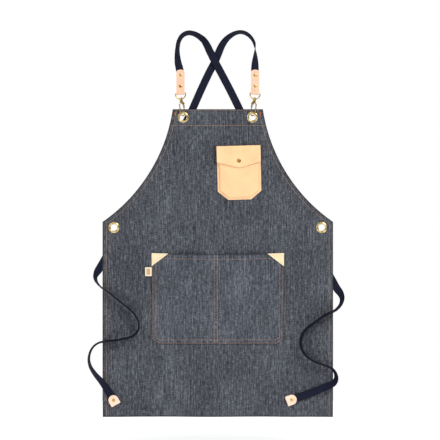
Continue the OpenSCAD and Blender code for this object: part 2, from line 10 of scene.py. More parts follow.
import bpy
import numpy as np
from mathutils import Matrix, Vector


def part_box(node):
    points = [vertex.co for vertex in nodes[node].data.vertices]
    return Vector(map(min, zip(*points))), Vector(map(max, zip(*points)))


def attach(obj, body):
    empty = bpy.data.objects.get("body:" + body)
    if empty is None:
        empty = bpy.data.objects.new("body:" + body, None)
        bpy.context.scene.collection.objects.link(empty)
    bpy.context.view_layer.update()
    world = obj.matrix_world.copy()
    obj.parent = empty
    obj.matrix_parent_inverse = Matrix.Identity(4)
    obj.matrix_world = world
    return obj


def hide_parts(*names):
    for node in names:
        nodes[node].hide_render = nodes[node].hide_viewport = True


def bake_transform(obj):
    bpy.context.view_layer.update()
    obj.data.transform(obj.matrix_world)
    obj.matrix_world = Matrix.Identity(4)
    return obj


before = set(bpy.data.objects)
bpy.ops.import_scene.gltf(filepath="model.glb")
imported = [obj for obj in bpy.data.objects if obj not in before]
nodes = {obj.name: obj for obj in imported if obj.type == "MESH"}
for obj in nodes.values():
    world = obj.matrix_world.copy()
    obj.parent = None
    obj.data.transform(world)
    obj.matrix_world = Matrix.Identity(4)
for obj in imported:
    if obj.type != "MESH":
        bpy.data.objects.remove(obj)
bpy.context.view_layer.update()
MM = 0.001


def span(node):
    """A node's box in the frame as its low and high (x, y, z), in mm to the nearest tenth."""
    return [[round(v / MM, 1) for v in corner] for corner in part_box(node)]


def middle_of(node):
    """The middle of a node's box as (x, z), in mm."""
    (x0, _, z0), (x1, _, z1) = span(node)
    return (x0 + x1) / 2, (z0 + z1) / 2


# %% [markdown]
# ## Camera and light
# The apron is seen square on from a long way off, so that its sides stay parallel. A long lens keeps the
# small change of size with depth that a real camera has. The light is a white room: a bright even world,
# one large soft lamp high on the left and a weaker one on the right, over a plain pale floor.

# %% Camera
scene = bpy.context.scene
VIEW_CENTRE = Vector((0.0057, 0.0, -0.494))
VIEW_WIDTH = 1.144
CAMERA_DISTANCE = 6.0
camera_data = bpy.data.cameras.new("camera")
camera_data.lens = camera_data.sensor_width * CAMERA_DISTANCE / VIEW_WIDTH
camera_data.clip_end = 60
camera = bpy.data.objects.new("camera", camera_data)
camera.location = VIEW_CENTRE + Vector((0, -CAMERA_DISTANCE, 0))
camera.rotation_euler = (math.radians(90), 0, 0)
scene.collection.objects.link(camera)
scene.camera = camera
scene.view_settings.view_transform = "Standard"
print("lens", round(camera_data.lens, 1), "mm")

# %% [markdown]
# ## Colours and nodes
# Colours are written as hex values, as a paint chart gives them, and one function turns them to the
# linear numbers that the renderer works in. A node is added with its settings and links by one function,
# and small functions on top of it give noise, a fade, a sum or a mix, so that a finish reads as a recipe.

# %% Helpers for materials
def linear(hex_colour):
    """An sRGB hex colour as linear RGBA."""
    parts = [int(hex_colour[i:i + 2], 16) / 255 for i in (1, 3, 5)]
    return [c / 12.92 if c <= 0.04045 else ((c + 0.055) / 1.055) ** 2.4 for c in parts] + [1.0]


def add(tree, kind, inputs=None, **settings):
    """Adds a node: settings are its properties, and inputs are values or sockets to link from."""
    made = tree.nodes.new(kind)
    for key, value in settings.items():
        setattr(made, key, value)
    for key, value in (inputs or {}).items():
        if isinstance(value, bpy.types.NodeSocket):
            tree.links.new(value, made.inputs[key])
        else:
            made.inputs[key].default_value = value
    return made


def start_material(name, roughness, metallic=0.0, specular=None, **sockets):
    """A new material with its shader's own sockets set. Returns (material, tree, shader)."""
    made = bpy.data.materials.new(name)
    made.use_nodes = True
    shader = made.node_tree.nodes["Principled BSDF"]
    shader.inputs["Roughness"].default_value = roughness
    shader.inputs["Metallic"].default_value = metallic
    if specular is not None:
        shader.inputs["Specular IOR Level"].default_value = specular
    for key, value in sockets.items():
        shader.inputs[key.replace("_", " ")].default_value = value
    return made, made.node_tree, shader


def ramp(tree, factor, stops):
    """A colour ramp from [(position, hex colour), ...]."""
    made = add(tree, "ShaderNodeValToRGB", {"Fac": factor})
    elements = made.color_ramp.elements
    while len(elements) < len(stops):
        elements.new(0.5)
    for element, (position, colour) in zip(elements, stops):
        element.position = position
        element.color = linear(colour)
    return made.outputs["Color"]


def pattern(tree, coords, kind, size_mm, inputs=None, rotation=(0, 0, 0), **settings):
    """A texture whose features are size_mm = (x, y, z) large. Returns its node."""
    scale = [1000 / s for s in size_mm]
    place = add(tree, "ShaderNodeMapping", {"Vector": coords, "Scale": scale, "Rotation": rotation})
    inputs = {"Vector": place.outputs["Vector"], "Scale": 1.0, **(inputs or {})}
    return add(tree, kind, inputs, **settings)


def noise(tree, coords, size_mm, detail):
    """Uneven patches of the given size, from 0 to 1."""
    return pattern(tree, coords, "ShaderNodeTexNoise", size_mm, {"Detail": detail}).outputs["Fac"]


def own_coords(tree):
    return add(tree, "ShaderNodeTexCoord").outputs["Object"]


def edge_mm(tree):
    """The distance from the piece's nearest cut edge, as its mesh gives it."""
    return add(tree, "ShaderNodeAttribute", attribute_name="edge").outputs["Fac"]


def fade(tree, value, start, end, low=0.0, high=1.0):
    """Maps start..end to low..high, and stays there past both."""
    return add(tree, "ShaderNodeMapRange", {"Value": value, "From Min": start, "From Max": end,
                                            "To Min": low, "To Max": high}).outputs["Result"]


def mix(tree, factor, a, b):
    """Colour a with b over it, by factor."""
    return add(tree, "ShaderNodeMix", {0: factor, 6: a, 7: b}, data_type="RGBA").outputs[2]


def maths(tree, operation, *values):
    """One sum on values or sockets."""
    return add(tree, "ShaderNodeMath", dict(enumerate(values)), operation=operation).outputs[0]


def blend(tree, *parts):
    """The sum of (socket, share) pairs."""
    total = 0.0
    for socket, share in parts:
        total = maths(tree, "MULTIPLY_ADD", socket, share, total)
    return total


def finish_material(tree, shader, colour, height, depth_mm, strength=1.0):
    """Links the colour and a bump of the given real depth."""
    tree.links.new(colour, shader.inputs["Base Color"])
    bump = add(tree, "ShaderNodeBump",
               {"Height": height, "Distance": depth_mm * MM, "Strength": strength})
    tree.links.new(bump.outputs["Normal"], shader.inputs["Normal"])


print("material helpers ready")

# %% [markdown]
# ## Denim
# Denim is a twill: dark warp threads run up and down over a pale weft. The warp is uneven, so the cloth
# shows long pale streaks. The streaks here are about 3 mm wide and 13 mm long, with weaker ones across,
# from the weft. A real twill line is under 1 mm wide, too fine to show, so it is drawn 1.3 mm wide, and
# as a bump only. The attribute `edge` holds the distance from the nearest cut edge in millimetres. It
# darkens the folded edges, where no light gets in between the layers.

# %% Denim material
def make_denim(name, pale, middle, dark, edge_dark):
    made, tree, shader = start_material(name, 0.86, specular=0.25, Sheen_Weight=0.18, Sheen_Roughness=0.5)
    coords = own_coords(tree)
    warp = noise(tree, coords, (2.7, 60, 13), 3.0)
    weft = noise(tree, coords, (11, 60, 2.3), 3.0)
    long_slub = noise(tree, coords, (3.4, 60, 70), 2.0)
    cloud = noise(tree, coords, (90, 90, 140), 3.0)
    uneven = blend(tree, (warp, 0.42), (weft, 0.3), (long_slub, 0.28), (cloud, 0.12))
    colour = ramp(tree, uneven, [(0.45, dark), (0.56, middle), (0.68, pale)])
    shade = fade(tree, edge_mm(tree), 0.0, 4.5, edge_dark, 0.0)
    colour = mix(tree, shade, colour, linear("#14161A"))
    twill = pattern(tree, coords, "ShaderNodeTexWave", (4.1, 4.1, 4.1), {"Distortion": 0.6, "Detail": 1.0},
                    rotation=(0, math.radians(62), 0), wave_type="BANDS", bands_direction="X")
    height = blend(tree, (twill.outputs["Fac"], 0.35), (warp, 0.8))
    finish_material(tree, shader, colour, height, 0.5, 0.7)
    return made


DENIM = make_denim("denim_twill", "#6A6D74", "#41444B", "#212328", 0.75)
POCKET_DENIM = make_denim("denim_twill_pocket", "#6C7079", "#454951", "#24272E", 0.8)
print("materials:", DENIM.name, POCKET_DENIM.name)

# %% [markdown]
# ## Webbing, leather, thread and brass
# The webbing is navy polyester woven in a fine herringbone: its UV map runs along and across the band, so
# the ribs slant to the middle and the selvedges are darker. The leather is vegetable tanned cowhide,
# almost undyed, matt with a fine grain; its cut edges are paler. The thread is shiny polyester. The brass
# is plated steel: bright, slightly brushed, with a little brown in the hollows.

# %% Webbing material
def make_webbing():
    rib_step = 2.6 * MM
    made, tree, shader = start_material("polyester_webbing", 0.72, specular=0.16)
    uv = add(tree, "ShaderNodeUVMap", uv_map="along_across").outputs["UV"]
    parts = add(tree, "ShaderNodeSeparateXYZ", {"Vector": uv})
    across = maths(tree, "ABSOLUTE", parts.outputs["Y"])
    slant = maths(tree, "ADD", parts.outputs["X"], across)
    rib = maths(tree, "SINE", maths(tree, "MULTIPLY", slant, 2 * math.pi / rib_step))
    rib = maths(tree, "MULTIPLY_ADD", rib, 0.5, 0.5)
    selvedge = fade(tree, across, 7.5 * MM, 9.8 * MM, 0.0, 0.7)
    value = blend(tree, (rib, 0.5), (noise(tree, own_coords(tree), (6, 6, 6), 3.0), 0.5))
    colour = ramp(tree, value, [(0.2, "#06070E"), (0.5, "#0D1022"), (0.8, "#191E3A")])
    colour = mix(tree, selvedge, colour, linear("#07080F"))
    finish_material(tree, shader, colour, rib, 0.35, 0.8)
    return made


WEBBING = make_webbing()

# %% Leather materials
def make_leather(name, pale, middle, deep, edge_colour):
    made, tree, shader = start_material(name, 0.55, specular=0.35, Coat_Weight=0.04, Coat_Roughness=0.5)
    coords = own_coords(tree)
    cloud = noise(tree, coords, (38, 38, 38), 4.0)
    grain = pattern(tree, coords, "ShaderNodeTexVoronoi", (1.6, 1.6, 1.6)).outputs["Distance"]
    fine = noise(tree, coords, (2.4, 2.4, 2.4), 4.0)
    tone = blend(tree, (cloud, 0.6), (fine, 0.4))
    colour = ramp(tree, tone, [(0.3, deep), (0.5, middle), (0.72, pale)])
    rim = fade(tree, edge_mm(tree), 0.1, 1.8, 0.6, 0.0)
    colour = mix(tree, rim, colour, linear(edge_colour))
    finish_material(tree, shader, colour, blend(tree, (grain, 0.5), (fine, 0.6)), 0.18, 0.6)
    return made


POCKET_LEATHER = make_leather("veg_tanned_leather", "#F9CE9B", "#F5C795", "#EFBC8B", "#FBDDB4")
STRAP_LEATHER = make_leather("veg_tanned_strap_leather", "#F3CAB0", "#EDC0A4", "#E2B193", "#FADFCA")
PATCH_LEATHER = make_leather("pale_calf_leather", "#F2E0BC", "#EAD4AB", "#DCC294", "#F8EBCF")
print("materials:", WEBBING.name, POCKET_LEATHER.name, STRAP_LEATHER.name, PATCH_LEATHER.name)

# %% Thread and label materials
def make_thread(name, pale, deep):
    made, tree, shader = start_material(name, 0.45, Sheen_Weight=0.1)
    ply = noise(tree, own_coords(tree), (0.9, 0.9, 0.9), 2.0)
    finish_material(tree, shader, ramp(tree, ply, [(0.3, deep), (0.7, pale)]), ply, 0.12)
    return made


COPPER_THREAD = make_thread("copper_polyester_thread", "#C99870", "#96654A")
TACK_THREAD = make_thread("orange_bartack_thread", "#C9683A", "#964425")
CREAM_THREAD = make_thread("cream_polyester_thread", "#F2CFA4", "#D9AA7C")
NAVY_THREAD = make_thread("navy_polyester_thread", "#30344C", "#141726")


def make_label():
    """Woven cotton with a darker field inside a pale border."""
    made, tree, shader = start_material("woven_cotton_label", 0.7)
    weave = pattern(tree, own_coords(tree), "ShaderNodeTexChecker", (1.4, 400, 1.4)).outputs["Fac"]
    field = fade(tree, edge_mm(tree), 3.0, 4.2)
    colour = mix(tree, field, linear("#F1E4C4"), linear("#C9A878"))
    finish_material(tree, shader, colour, weave, 0.2)
    return made


LABEL = make_label()

# %% Brass materials
def make_brass(name, pale, middle, deep, roughness):
    made, tree, shader = start_material(name, roughness, metallic=1.0)
    tarnish = noise(tree, own_coords(tree), (7, 7, 7), 5.0)
    brush = noise(tree, own_coords(tree), (0.5, 0.5, 6), 2.0)
    colour = ramp(tree, tarnish, [(0.33, deep), (0.5, middle), (0.68, pale)])
    rough = fade(tree, tarnish, 0.0, 1.0, roughness - 0.1, roughness + 0.16)
    tree.links.new(rough, shader.inputs["Roughness"])
    finish_material(tree, shader, colour, brush, 0.03, 0.5)
    return made


EYELET_BRASS = make_brass("plated_brass_eyelet", "#EBDAAE", "#D4BC84", "#9E8349", 0.24)
HOOK_BRASS = make_brass("plated_brass_hook", "#E4CE92", "#C7A862", "#86693A", 0.22)
RIVET_BRASS = make_brass("plated_brass_rivet", "#E0C384", "#BE9A55", "#87683A", 0.28)
SNAP_BRASS = make_brass("antique_brass_snap", "#C79F5E", "#A47C41", "#745427", 0.34)
print("materials:", len(bpy.data.materials))

# %% [markdown]
# ## The cloth's shape
# All cloth pieces share one description of the apron in millimetres: its outline, how it hangs, and how
# far its front surface lies from flat. Hems, pockets, patches and stitches all ask it where the cloth is,
# so that they lie on it. The cloth stays flat where brass or the chest pocket holds it.

# %% Outline and hang of the panel
(_, front_y, HEM_Z), (SKIRT_HALF, _, BIB_Z) = span("body_panel")
CLOTH_T = -front_y
BIB_HALF, WAIST_Z, ARMHOLE_R = 117.0, -499.0, 436.0
HEM_W, BOTTOM_HEM_H, FACING_H = 11.0, 20.0, 41.0
chord = Vector((SKIRT_HALF - BIB_HALF, WAIST_Z - BIB_Z))
middle = Vector((SKIRT_HALF + BIB_HALF, WAIST_Z + BIB_Z)) / 2
reach = math.sqrt(ARMHOLE_R ** 2 - (chord.length / 2) ** 2)
ARMHOLE_C = middle + Vector((-chord.y, chord.x)) / chord.length * reach
EYELETS = [middle_of(f"{side}_{place}_eyelet")
           for place in ("bib", "waist") for side in ("left", "right")]
LEFT_TAB, RIGHT_TAB = middle_of("left_tab_rivet"), middle_of("right_tab_rivet")
TACK_R, TAB_HOLD_R, EYELET_HOLD_R = 60.0, 62.0, 34.0
HELD_SPOTS = [(*spot, EYELET_HOLD_R) for spot in EYELETS] \
    + [(-300, -620, TACK_R), (300, -645, TACK_R), (*LEFT_TAB, TAB_HOLD_R), (*RIGHT_TAB, TAB_HOLD_R)]
CHEST_MIDDLE, CHEST_REACH, CHEST_FADE = (55, -371), (58, 72), 26


def smooth(a, b, value):
    """0 before a, 1 after b, and a soft step between."""
    t = min(1.0, max(0.0, (value - a) / (b - a)))
    return t * t * (3 - 2 * t)


def half_width(z):
    if z <= WAIST_Z:
        return SKIRT_HALF
    return ARMHOLE_C.x - math.sqrt(ARMHOLE_R ** 2 - (z - ARMHOLE_C.y) ** 2)


def side_slope(z):
    """The share of a step in from the side that is square to the edge."""
    return 1.0 if z <= WAIST_Z else (ARMHOLE_C.x - half_width(z)) / ARMHOLE_R


def held(x, z):
    """1 where brass, a tack, a leather tab or the chest pocket keeps the cloth flat."""
    hold = max(math.exp(-(((x - px) ** 2 + (z - pz) ** 2) / r ** 2) ** 2) for px, pz, r in HELD_SPOTS)
    dx = max(0.0, abs(x - CHEST_MIDDLE[0]) - CHEST_REACH[0])
    dz = max(0.0, abs(z - CHEST_MIDDLE[1]) - CHEST_REACH[1])
    chest_hold = math.exp(-(dx * dx + dz * dz) / CHEST_FADE ** 2)
    return max(hold, chest_hold, smooth(BIB_Z - FACING_H + 2, BIB_Z - 6, z))


def hang(x, z):
    """How far the cloth swells towards the back, in mm."""
    low = smooth(-470, -1000, z)
    folds = 2.4 * math.sin(x / 47 + 0.7 + z / 420) + 1.1 * math.sin(x / 24.5 - z / 260 + 2.0)
    broad = 0.7 * math.sin(z / 63 + x / 150 + 0.4) + 0.5 * math.sin((x + z) / 39)
    hem_curl = 2.4 * (1 + math.sin(x / 66 - 0.8)) * smooth(-880, HEM_Z, z)
    return (1 - held(x, z)) * (1.3 + low * (folds + 2.6) + broad * (0.9 - 0.3 * low) + hem_curl)


print("armhole centre", [round(v, 1) for v in ARMHOLE_C])

# %% Distance from the edges, and the ridge of a hem
def edge_distance(x, z):
    side = (half_width(z) - abs(x)) * side_slope(z)
    return max(0.0, min(side, BIB_Z - z, z - HEM_Z))


def hem_ridge(x, z):
    """How far the folded hems push the front out, in mm: proud up to the stitch, and in at the edge."""
    side = (half_width(z) - abs(x)) * side_slope(z)
    puff = 0.0
    for distance, width in ((side, HEM_W), (BIB_Z - z, FACING_H), (z - HEM_Z, BOTTOM_HEM_H)):
        t = distance / width
        if 0 <= t <= 1.25:
            puff = max(puff, 0.35 * (1 - smooth(0.85, 1.1, t)) - 0.30 * (1 - smooth(0, 0.12, t)))
    return puff


def panel_y(x, z):
    """The front of the denim panel, in mm."""
    return -CLOTH_T + hang(x, z) - hem_ridge(x, z)


print("panel front at the middle:", round(panel_y(0, -700), 2), "mm")

# %% [markdown]
# ## Mesh helpers
# Cloth is a grid of points that a function puts in place, then given its thickness with Solidify. Small
# flat pieces start from a primitive and are worked in edit mode. Every finished object keeps its origin
# at zero, so a pattern on Object coordinates stays put.

# %% Helpers for objects
def leave_all():
    """Nothing selected and nothing active, whatever was done before."""
    if bpy.context.object and bpy.context.object.mode != "OBJECT":
        bpy.ops.object.mode_set(mode="OBJECT")
    bpy.ops.object.select_all(action="DESELECT")


def make_only(obj):
    leave_all()
    bpy.context.view_layer.objects.active = obj
    obj.select_set(True)
    return obj


def mesh_object(name, points, faces):
    """A mesh object from points in mm."""
    mesh = bpy.data.meshes.new(name)
    mesh.from_pydata([Vector(p) * MM for p in points], [], faces)
    mesh.update()
    made = bpy.data.objects.new(name, mesh)
    scene.collection.objects.link(made)
    return make_only(made)


def modify(obj, kind, **settings):
    """Adds a modifier and applies it."""
    make_only(obj)
    made = obj.modifiers.new(kind.lower(), kind)
    for key, value in settings.items():
        setattr(made, key, value)
    bpy.ops.object.modifier_apply(modifier=made.name)
    return obj


def thicken(obj, mm, offset=-1):
    return modify(obj, "SOLIDIFY", thickness=mm * MM, offset=offset)


def round_edges(obj, mm, angle=60):
    return modify(obj, "BEVEL", width=mm * MM, segments=2, limit_method="ANGLE",
                  angle_limit=math.radians(angle))


def edit_all(obj, *steps):
    """Runs edit mode tools on the whole mesh, each given as (tool, its settings)."""
    make_only(obj)
    bpy.ops.object.mode_set(mode="EDIT")
    for tool, settings in steps:
        bpy.ops.mesh.select_all(action="SELECT")
        tool(**settings)
    bpy.ops.object.mode_set(mode="OBJECT")
    return obj


MERGE = (bpy.ops.mesh.remove_doubles, {"threshold": 1e-6})
FACE_OUT = (bpy.ops.mesh.normals_make_consistent, {"inside": False})
DROP_LOOSE = (bpy.ops.mesh.delete_loose, {})


def set_edge(obj, distance):
    """Writes distance(x, y, z), in mm, to the attribute that shades a piece near its edges."""
    values = [distance(*(v.co / MM)) for v in obj.data.vertices]
    obj.data.attributes.new("edge", "FLOAT", "POINT").data.foreach_set("value", values)


def finish_piece(obj, material, *cad_nodes, body="apron", slot=None, smooth_angle=40):
    """Material, shading, body, and the CAD nodes that this piece stands for."""
    make_only(obj)
    obj.data.materials.append(material)
    bpy.ops.object.shade_smooth_by_angle(angle=math.radians(smooth_angle))
    if body:
        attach(obj, body)
    if cad_nodes:
        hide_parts(*cad_nodes)
    print(f"{obj.name}: {len(obj.data.polygons)} faces")
    return obj


def grid_faces(rows, columns, first=0):
    return [(first + r * columns + c, first + r * columns + c + 1,
             first + (r + 1) * columns + c + 1, first + (r + 1) * columns + c)
            for r in range(rows - 1) for c in range(columns - 1)]


def tube_faces(rings, k):
    """The faces of a tube of rings with k points each, with both ends filled."""
    walls = [(i * k + j, i * k + (j + 1) % k, (i + 1) * k + (j + 1) % k, (i + 1) * k + j)
             for i in range(rings - 1) for j in range(k)]
    return walls + [tuple(range(k - 1, -1, -1)), tuple(range((rings - 1) * k, rings * k))]


def spaced(start, end, step):
    """Evenly spaced numbers from start to end, about step apart."""
    return list(np.linspace(start, end, max(2, round(abs(end - start) / step) + 1)))


# %% [markdown]
# ## Webbing
# The two straps and the two ties are 20 mm webbing, 1.6 mm thick. The webbing keeps its width all along, so
# it is swept: one flat section travels along a smooth line and turns with it. The line's points, with
# the turn of the webbing in degrees, are the same as in the frame. A tie is a free cord seen from end to
# end, so its length is what its own line measures. A strap is held at both ends.

# %% Routes: x, y, z and turn
WEB_W, WEB_T = 20.0, 1.6
LEFT_SHOULDER_ROUTE = [
    (-97, 0, -157, 0), (-97, 0, -130, 0), (-99, 1, -104, 4), (-103, 4, -86, 25), (-105, 8, -68, 44),
    (-105, 13, -47, 58), (-102, 17, -29, 60), (-94.5, 20, -15, 59), (-85, 22, -8, 57), (-75, 23, -5.5, 56),
    (-62, 23, -8, 53), (-49, 22, -15, 46), (-37, 20, -25, 36), (-28.5, 18, -38, 22), (-21.5, 16, -53, 9),
    (-15, 14, -66, 2), (-7.5, 12.5, -81, 0), (10, 10.5, -114, 0), (33, 7.5, -158, 0), (56, 4.5, -205, 0),
    (61, 4.1, -216, 0), (82, 4, -258, 0), (118, 4, -324, 0), (158, 4, -396, 0), (198, 4, -469, 0),
    (238, 4, -542, 0), (268, 3.2, -597, 0), (290, 2.1, -637, 0), (300, 2, -655, 0)]
RIGHT_SHOULDER_ROUTE = [
    (97, 0, -157, 0), (97, 0, -130, 0), (96.5, 1, -104, 4), (97, 4, -86, 28), (98, 8, -68, 56),
    (98, 12, -52, 82), (96, 16, -36, 105), (91, 19, -24, 109), (83, 21.5, -14, 113), (72, 23, -6.5, 115),
    (59, 24, -3.5, 115), (45, 24, -6.5, 119), (32, 23.5, -14, 128), (20, 22.5, -25, 140),
    (10, 21, -40, 155), (2, 19.5, -58, 170), (-7.5, 17.5, -81, 180), (-23, 14, -111, 180),
    (-44.5, 9.5, -157, 180), (-65.5, 4.7, -205, 180), (-70, 4.2, -215, 180), (-91.5, 4, -255, 180),
    (-128, 4, -318, 180), (-166, 4, -382, 180), (-204, 4, -446, 180), (-244, 4, -513, 180),
    (-272, 3.2, -560, 180), (-292, 2.1, -593, 180), (-302, 2, -610, 180)]
LEFT_TIE_ROUTE = [
    (-302, 2, -610, 0), (-309, 2, -622, 0), (-315, -0.5, -633, 32), (-317.5, -4.5, -645, 56),
    (-312, -9.5, -658, 72), (-302, -12.5, -669, 78), (-279, -13, -686, 79), (-256, -13, -704, 79),
    (-230, -13, -725, 79), (-213, -13, -743, 79), (-205, -13, -763, 79), (-207.5, -13, -782, 79),
    (-219, -13, -794, 79), (-240, -13, -801, 79), (-266, -13, -806, 79), (-296, -13, -809, 80),
    (-315, -13, -816, 79), (-328, -13, -830, 76), (-334.5, -13, -853, 70), (-331, -13, -873, 62),
    (-319, -12.5, -893, 50), (-303, -10.5, -912, 36), (-289, -7, -931, 18), (-279, -5, -948, 4),
    (-270, -4.8, -964, 0)]
RIGHT_TIE_ROUTE = [
    (300, 2, -655, 0), (309.5, 2, -672, 0), (319, -1, -685, 32), (323, -5.5, -697, 54),
    (320, -10, -711, 68), (310, -12.5, -724, 74), (300, -13, -731, 76), (288, -13, -736, 76),
    (266, -13, -749, 76), (249, -13, -761.5, 76), (234, -13, -773, 76), (221.5, -13, -787, 76),
    (215.5, -13, -806, 76), (217.5, -13, -827, 76), (227, -13, -844, 76), (248, -13, -860, 77),
    (271, -13, -869.5, 77), (288, -13, -875, 76), (299, -13, -882, 74), (306, -13, -894, 68),
    (307, -13, -906, 58), (301, -12.5, -917, 44), (285, -9.5, -925, 28), (261, -6, -935.5, 12),
    (230, -5, -947.5, 2), (207, -4.8, -955.5, 0), (192, -4.8, -961, 0)]
print("route points:", len(LEFT_SHOULDER_ROUTE), len(RIGHT_SHOULDER_ROUTE),
      len(LEFT_TIE_ROUTE), len(RIGHT_TIE_ROUTE))

# %% Smooth line and sweep
def between(a, b, ta, tb, t):
    """The value at t on the straight line from a at ta to b at tb."""
    return (tb - t) / (tb - ta) * a + (t - ta) / (tb - ta) * b


def smooth_line(route, step):
    """Points every step mm on a smooth line through the route, turn included. Each stretch is a
    centripetal Catmull-Rom curve, which makes no loops where the points come close together."""
    data = [np.array(p, float) for p in route]
    data = [2 * data[0] - data[1]] + data + [2 * data[-1] - data[-2]]
    out = []
    for p0, p1, p2, p3 in zip(data, data[1:], data[2:], data[3:]):
        gaps = [max(1e-6, np.linalg.norm((b - a)[:3])) ** 0.5 for a, b in ((p0, p1), (p1, p2), (p2, p3))]
        t0, t1, t2, t3 = 0.0, *np.cumsum(gaps)
        count = max(2, round(np.linalg.norm((p2 - p1)[:3]) / step))
        for k in range(count):
            t = t1 + (t2 - t1) * k / count
            a1 = between(p0, p1, t0, t1, t)
            a2 = between(p1, p2, t1, t2, t)
            a3 = between(p2, p3, t2, t3, t)
            out.append(between(between(a1, a2, t0, t2, t), between(a2, a3, t1, t3, t), t1, t2, t))
    return out + [data[-2]]


def web_section():
    """The flat section: rounded selvedges, a hair thicker there than in the middle."""
    w, h = WEB_W / 2, WEB_T / 2
    half = [(w, 0), (w - 0.15, 0.55 * h), (w - 0.6, 0.95 * h), (w - 2.2, h), (0, 0.9 * h), (2.2 - w, h),
            (0.6 - w, 0.95 * h), (0.15 - w, 0.55 * h)]
    return half + [(-x, -y) for x, y in half]


def sweep(name, route, follow_cloth=False, step=2.5):
    """A webbing along its route. Returns (object, centre line in metres, length in metres)."""
    line = smooth_line(route, step)
    if follow_cloth:
        for p in line:
            p[1] += hang(p[0], p[2]) * smooth(BIB_Z, BIB_Z - 44, p[2])
    section = web_section()
    k = len(section)
    points, along = [], [0.0]
    for i, p in enumerate(line):
        if i:
            along.append(along[-1] + np.linalg.norm(p[:3] - line[i - 1][:3]))
        t = (line[min(i + 1, len(line) - 1)] - line[max(i - 1, 0)])[:3]
        t = t / np.linalg.norm(t)
        n = np.cross([0, 1, 0], t)
        n = n / np.linalg.norm(n)
        turn = math.radians(p[3])
        across = n * math.cos(turn) + np.cross(t, n) * math.sin(turn)
        up = np.cross(t, across)
        points += [p[:3] + across * a + up * b for a, b in section]
    made = mesh_object(name, points, tube_faces(len(line), k))
    uv = made.data.uv_layers.new(name="along_across")
    for loop in made.data.loops:
        i, j = divmod(loop.vertex_index, k)
        uv.data[loop.index].uv = (along[i] * MM, section[j][0] * MM)
    centre = [tuple(Vector(p[:3]) * MM) for p in line]
    return made, centre, along[-1] * MM


# %% The four webbings
left_strap, _, left_strap_length = sweep("left_shoulder_webbing", LEFT_SHOULDER_ROUTE, True)
right_strap, _, right_strap_length = sweep("right_shoulder_webbing", RIGHT_SHOULDER_ROUTE, True)
left_tie, left_tie_path, left_tie_length = sweep("left_waist_webbing", LEFT_TIE_ROUTE, step=2.0)
right_tie, right_tie_path, right_tie_length = sweep("right_waist_webbing", RIGHT_TIE_ROUTE, step=2.0)
for piece, node in ((left_strap, "left_shoulder_strap"), (right_strap, "right_shoulder_strap"),
                    (left_tie, "left_waist_tie"), (right_tie, "right_waist_tie")):
    finish_piece(piece, WEBBING, node, slot="navy_webbing")
lengths = (left_strap_length, right_strap_length, left_tie_length, right_tie_length)
print("lengths:", [round(v, 3) for v in lengths], "m")

# %% [markdown]
# ## The denim panel
# The panel is one piece of cloth with its edges folded to the back. It is a grid of rows from bib to hem
# and columns from side to side, closer together at the edges, where the folded hem stands a little
# proud and the stitch line pulls it in. Holes for the brass eyelets are opened in the grid itself,
# because a hole cut later would leave thin slivers, and Solidify gives the cloth its thickness.

# %% Panel grid
EDGE_STEPS = [0, 0.6, 1.6, 3.2, 5.5, 8.0, 9.6, 11.0, 12.4, 14.0]
INNER_COLUMNS = 130
HOLE_R = 10.2


def panel_rows():
    top = [BIB_Z - d for d in (0, 0.8, 2.2, 4.5, 8)]
    bottom = [HEM_Z + d for d in (24, 22, 20, 18, 15, 10, 5, 2.2, 0.8, 0)]
    return top + spaced(BIB_Z - 6, HEM_Z + 28, 4.2) + bottom


def panel_columns(z):
    half, slope = half_width(z), side_slope(z)
    side = [half - d / slope for d in EDGE_STEPS]
    inner = list(np.linspace(-side[-1], side[-1], INNER_COLUMNS + 1)[1:-1])
    return [-s for s in side] + inner + side[::-1]


def pierce(points, faces, spots):
    """Opens a hole at each spot: moves the points inside it out to its rim. Returns the faces left."""
    left = []
    for face in faces:
        x, z = (sum(points[i][axis] for i in face) / 4 for axis in (0, 2))
        if min(math.hypot(x - px, z - pz) for px, pz in spots) > HOLE_R:
            left.append(face)
    for p in points:
        for px, pz in spots:
            far = math.hypot(p[0] - px, p[2] - pz)
            if 1e-3 < far < HOLE_R:
                p[0], p[2] = px + (p[0] - px) * HOLE_R / far, pz + (p[2] - pz) * HOLE_R / far
    return left


rows = panel_rows()
points = [[x, 0, z] for z in rows for x in panel_columns(z)]
faces = [f[::-1] for f in grid_faces(len(rows), len(points) // len(rows))]
faces = pierce(points, faces, EYELETS)
for p in points:
    p[1] = panel_y(p[0], p[2])
panel = edit_all(mesh_object("denim_panel", points, faces), DROP_LOOSE)
thicken(panel, CLOTH_T)
front = min(v.co.y for v in panel.data.vertices) / MM
print("panel", len(panel.data.polygons), "faces, front at", round(front, 2), "mm")

# %% Finish of the panel
set_edge(panel, lambda x, y, z: edge_distance(x, z))
finish_piece(panel, DENIM, "body_panel", slot="denim", smooth_angle=60)

# %% [markdown]
# ## Hems and bib facing
# At the sides, the armholes, the top and the bottom the denim is folded to the back and sewn down. From
# behind, each hem is a flat band with a soft rolled edge. A band is swept along its edge with a small
# section, because its width and thickness stay the same while the edge curves.

# %% Hem bands
def hem_band(name, line, inward, width, node):
    """A folded band behind the cloth along line, a list of (x, z), reaching width mm along inward."""
    section = [(0.05, -0.55), (-0.25, -0.1), (-0.3, 0.4), (0.0, 0.95), (0.7, 1.15), (width * 0.5, 1.1),
               (width - 0.8, 1.15), (width - 0.1, 0.85), (width, 0.4), (width - 0.2, 0.06), (0.8, 0.04)]
    pts = []
    for x, z in line:
        nx, nz = inward(x, z)
        for d, y in section:
            px, pz = x + nx * d, z + nz * d
            pts.append((px, y + hang(px, pz) + (-hem_ridge(px, pz) if y < 0 else 0.0), pz))
    made = edit_all(mesh_object(name, pts, tube_faces(len(line), len(section))), MERGE, FACE_OUT)
    # Painted shade: the rolled edge and the band's side that faces the cloth get an edge value of 1.2 mm,
    # so the denim darkens them as shade between the layers. The open back gets 9 mm and keeps its own
    # colour.
    set_edge(made, lambda x, y, z: 9.0 if y - hang(x, z) > 0.9 else 1.2)
    return finish_piece(made, DENIM, node, slot="denim", smooth_angle=50)


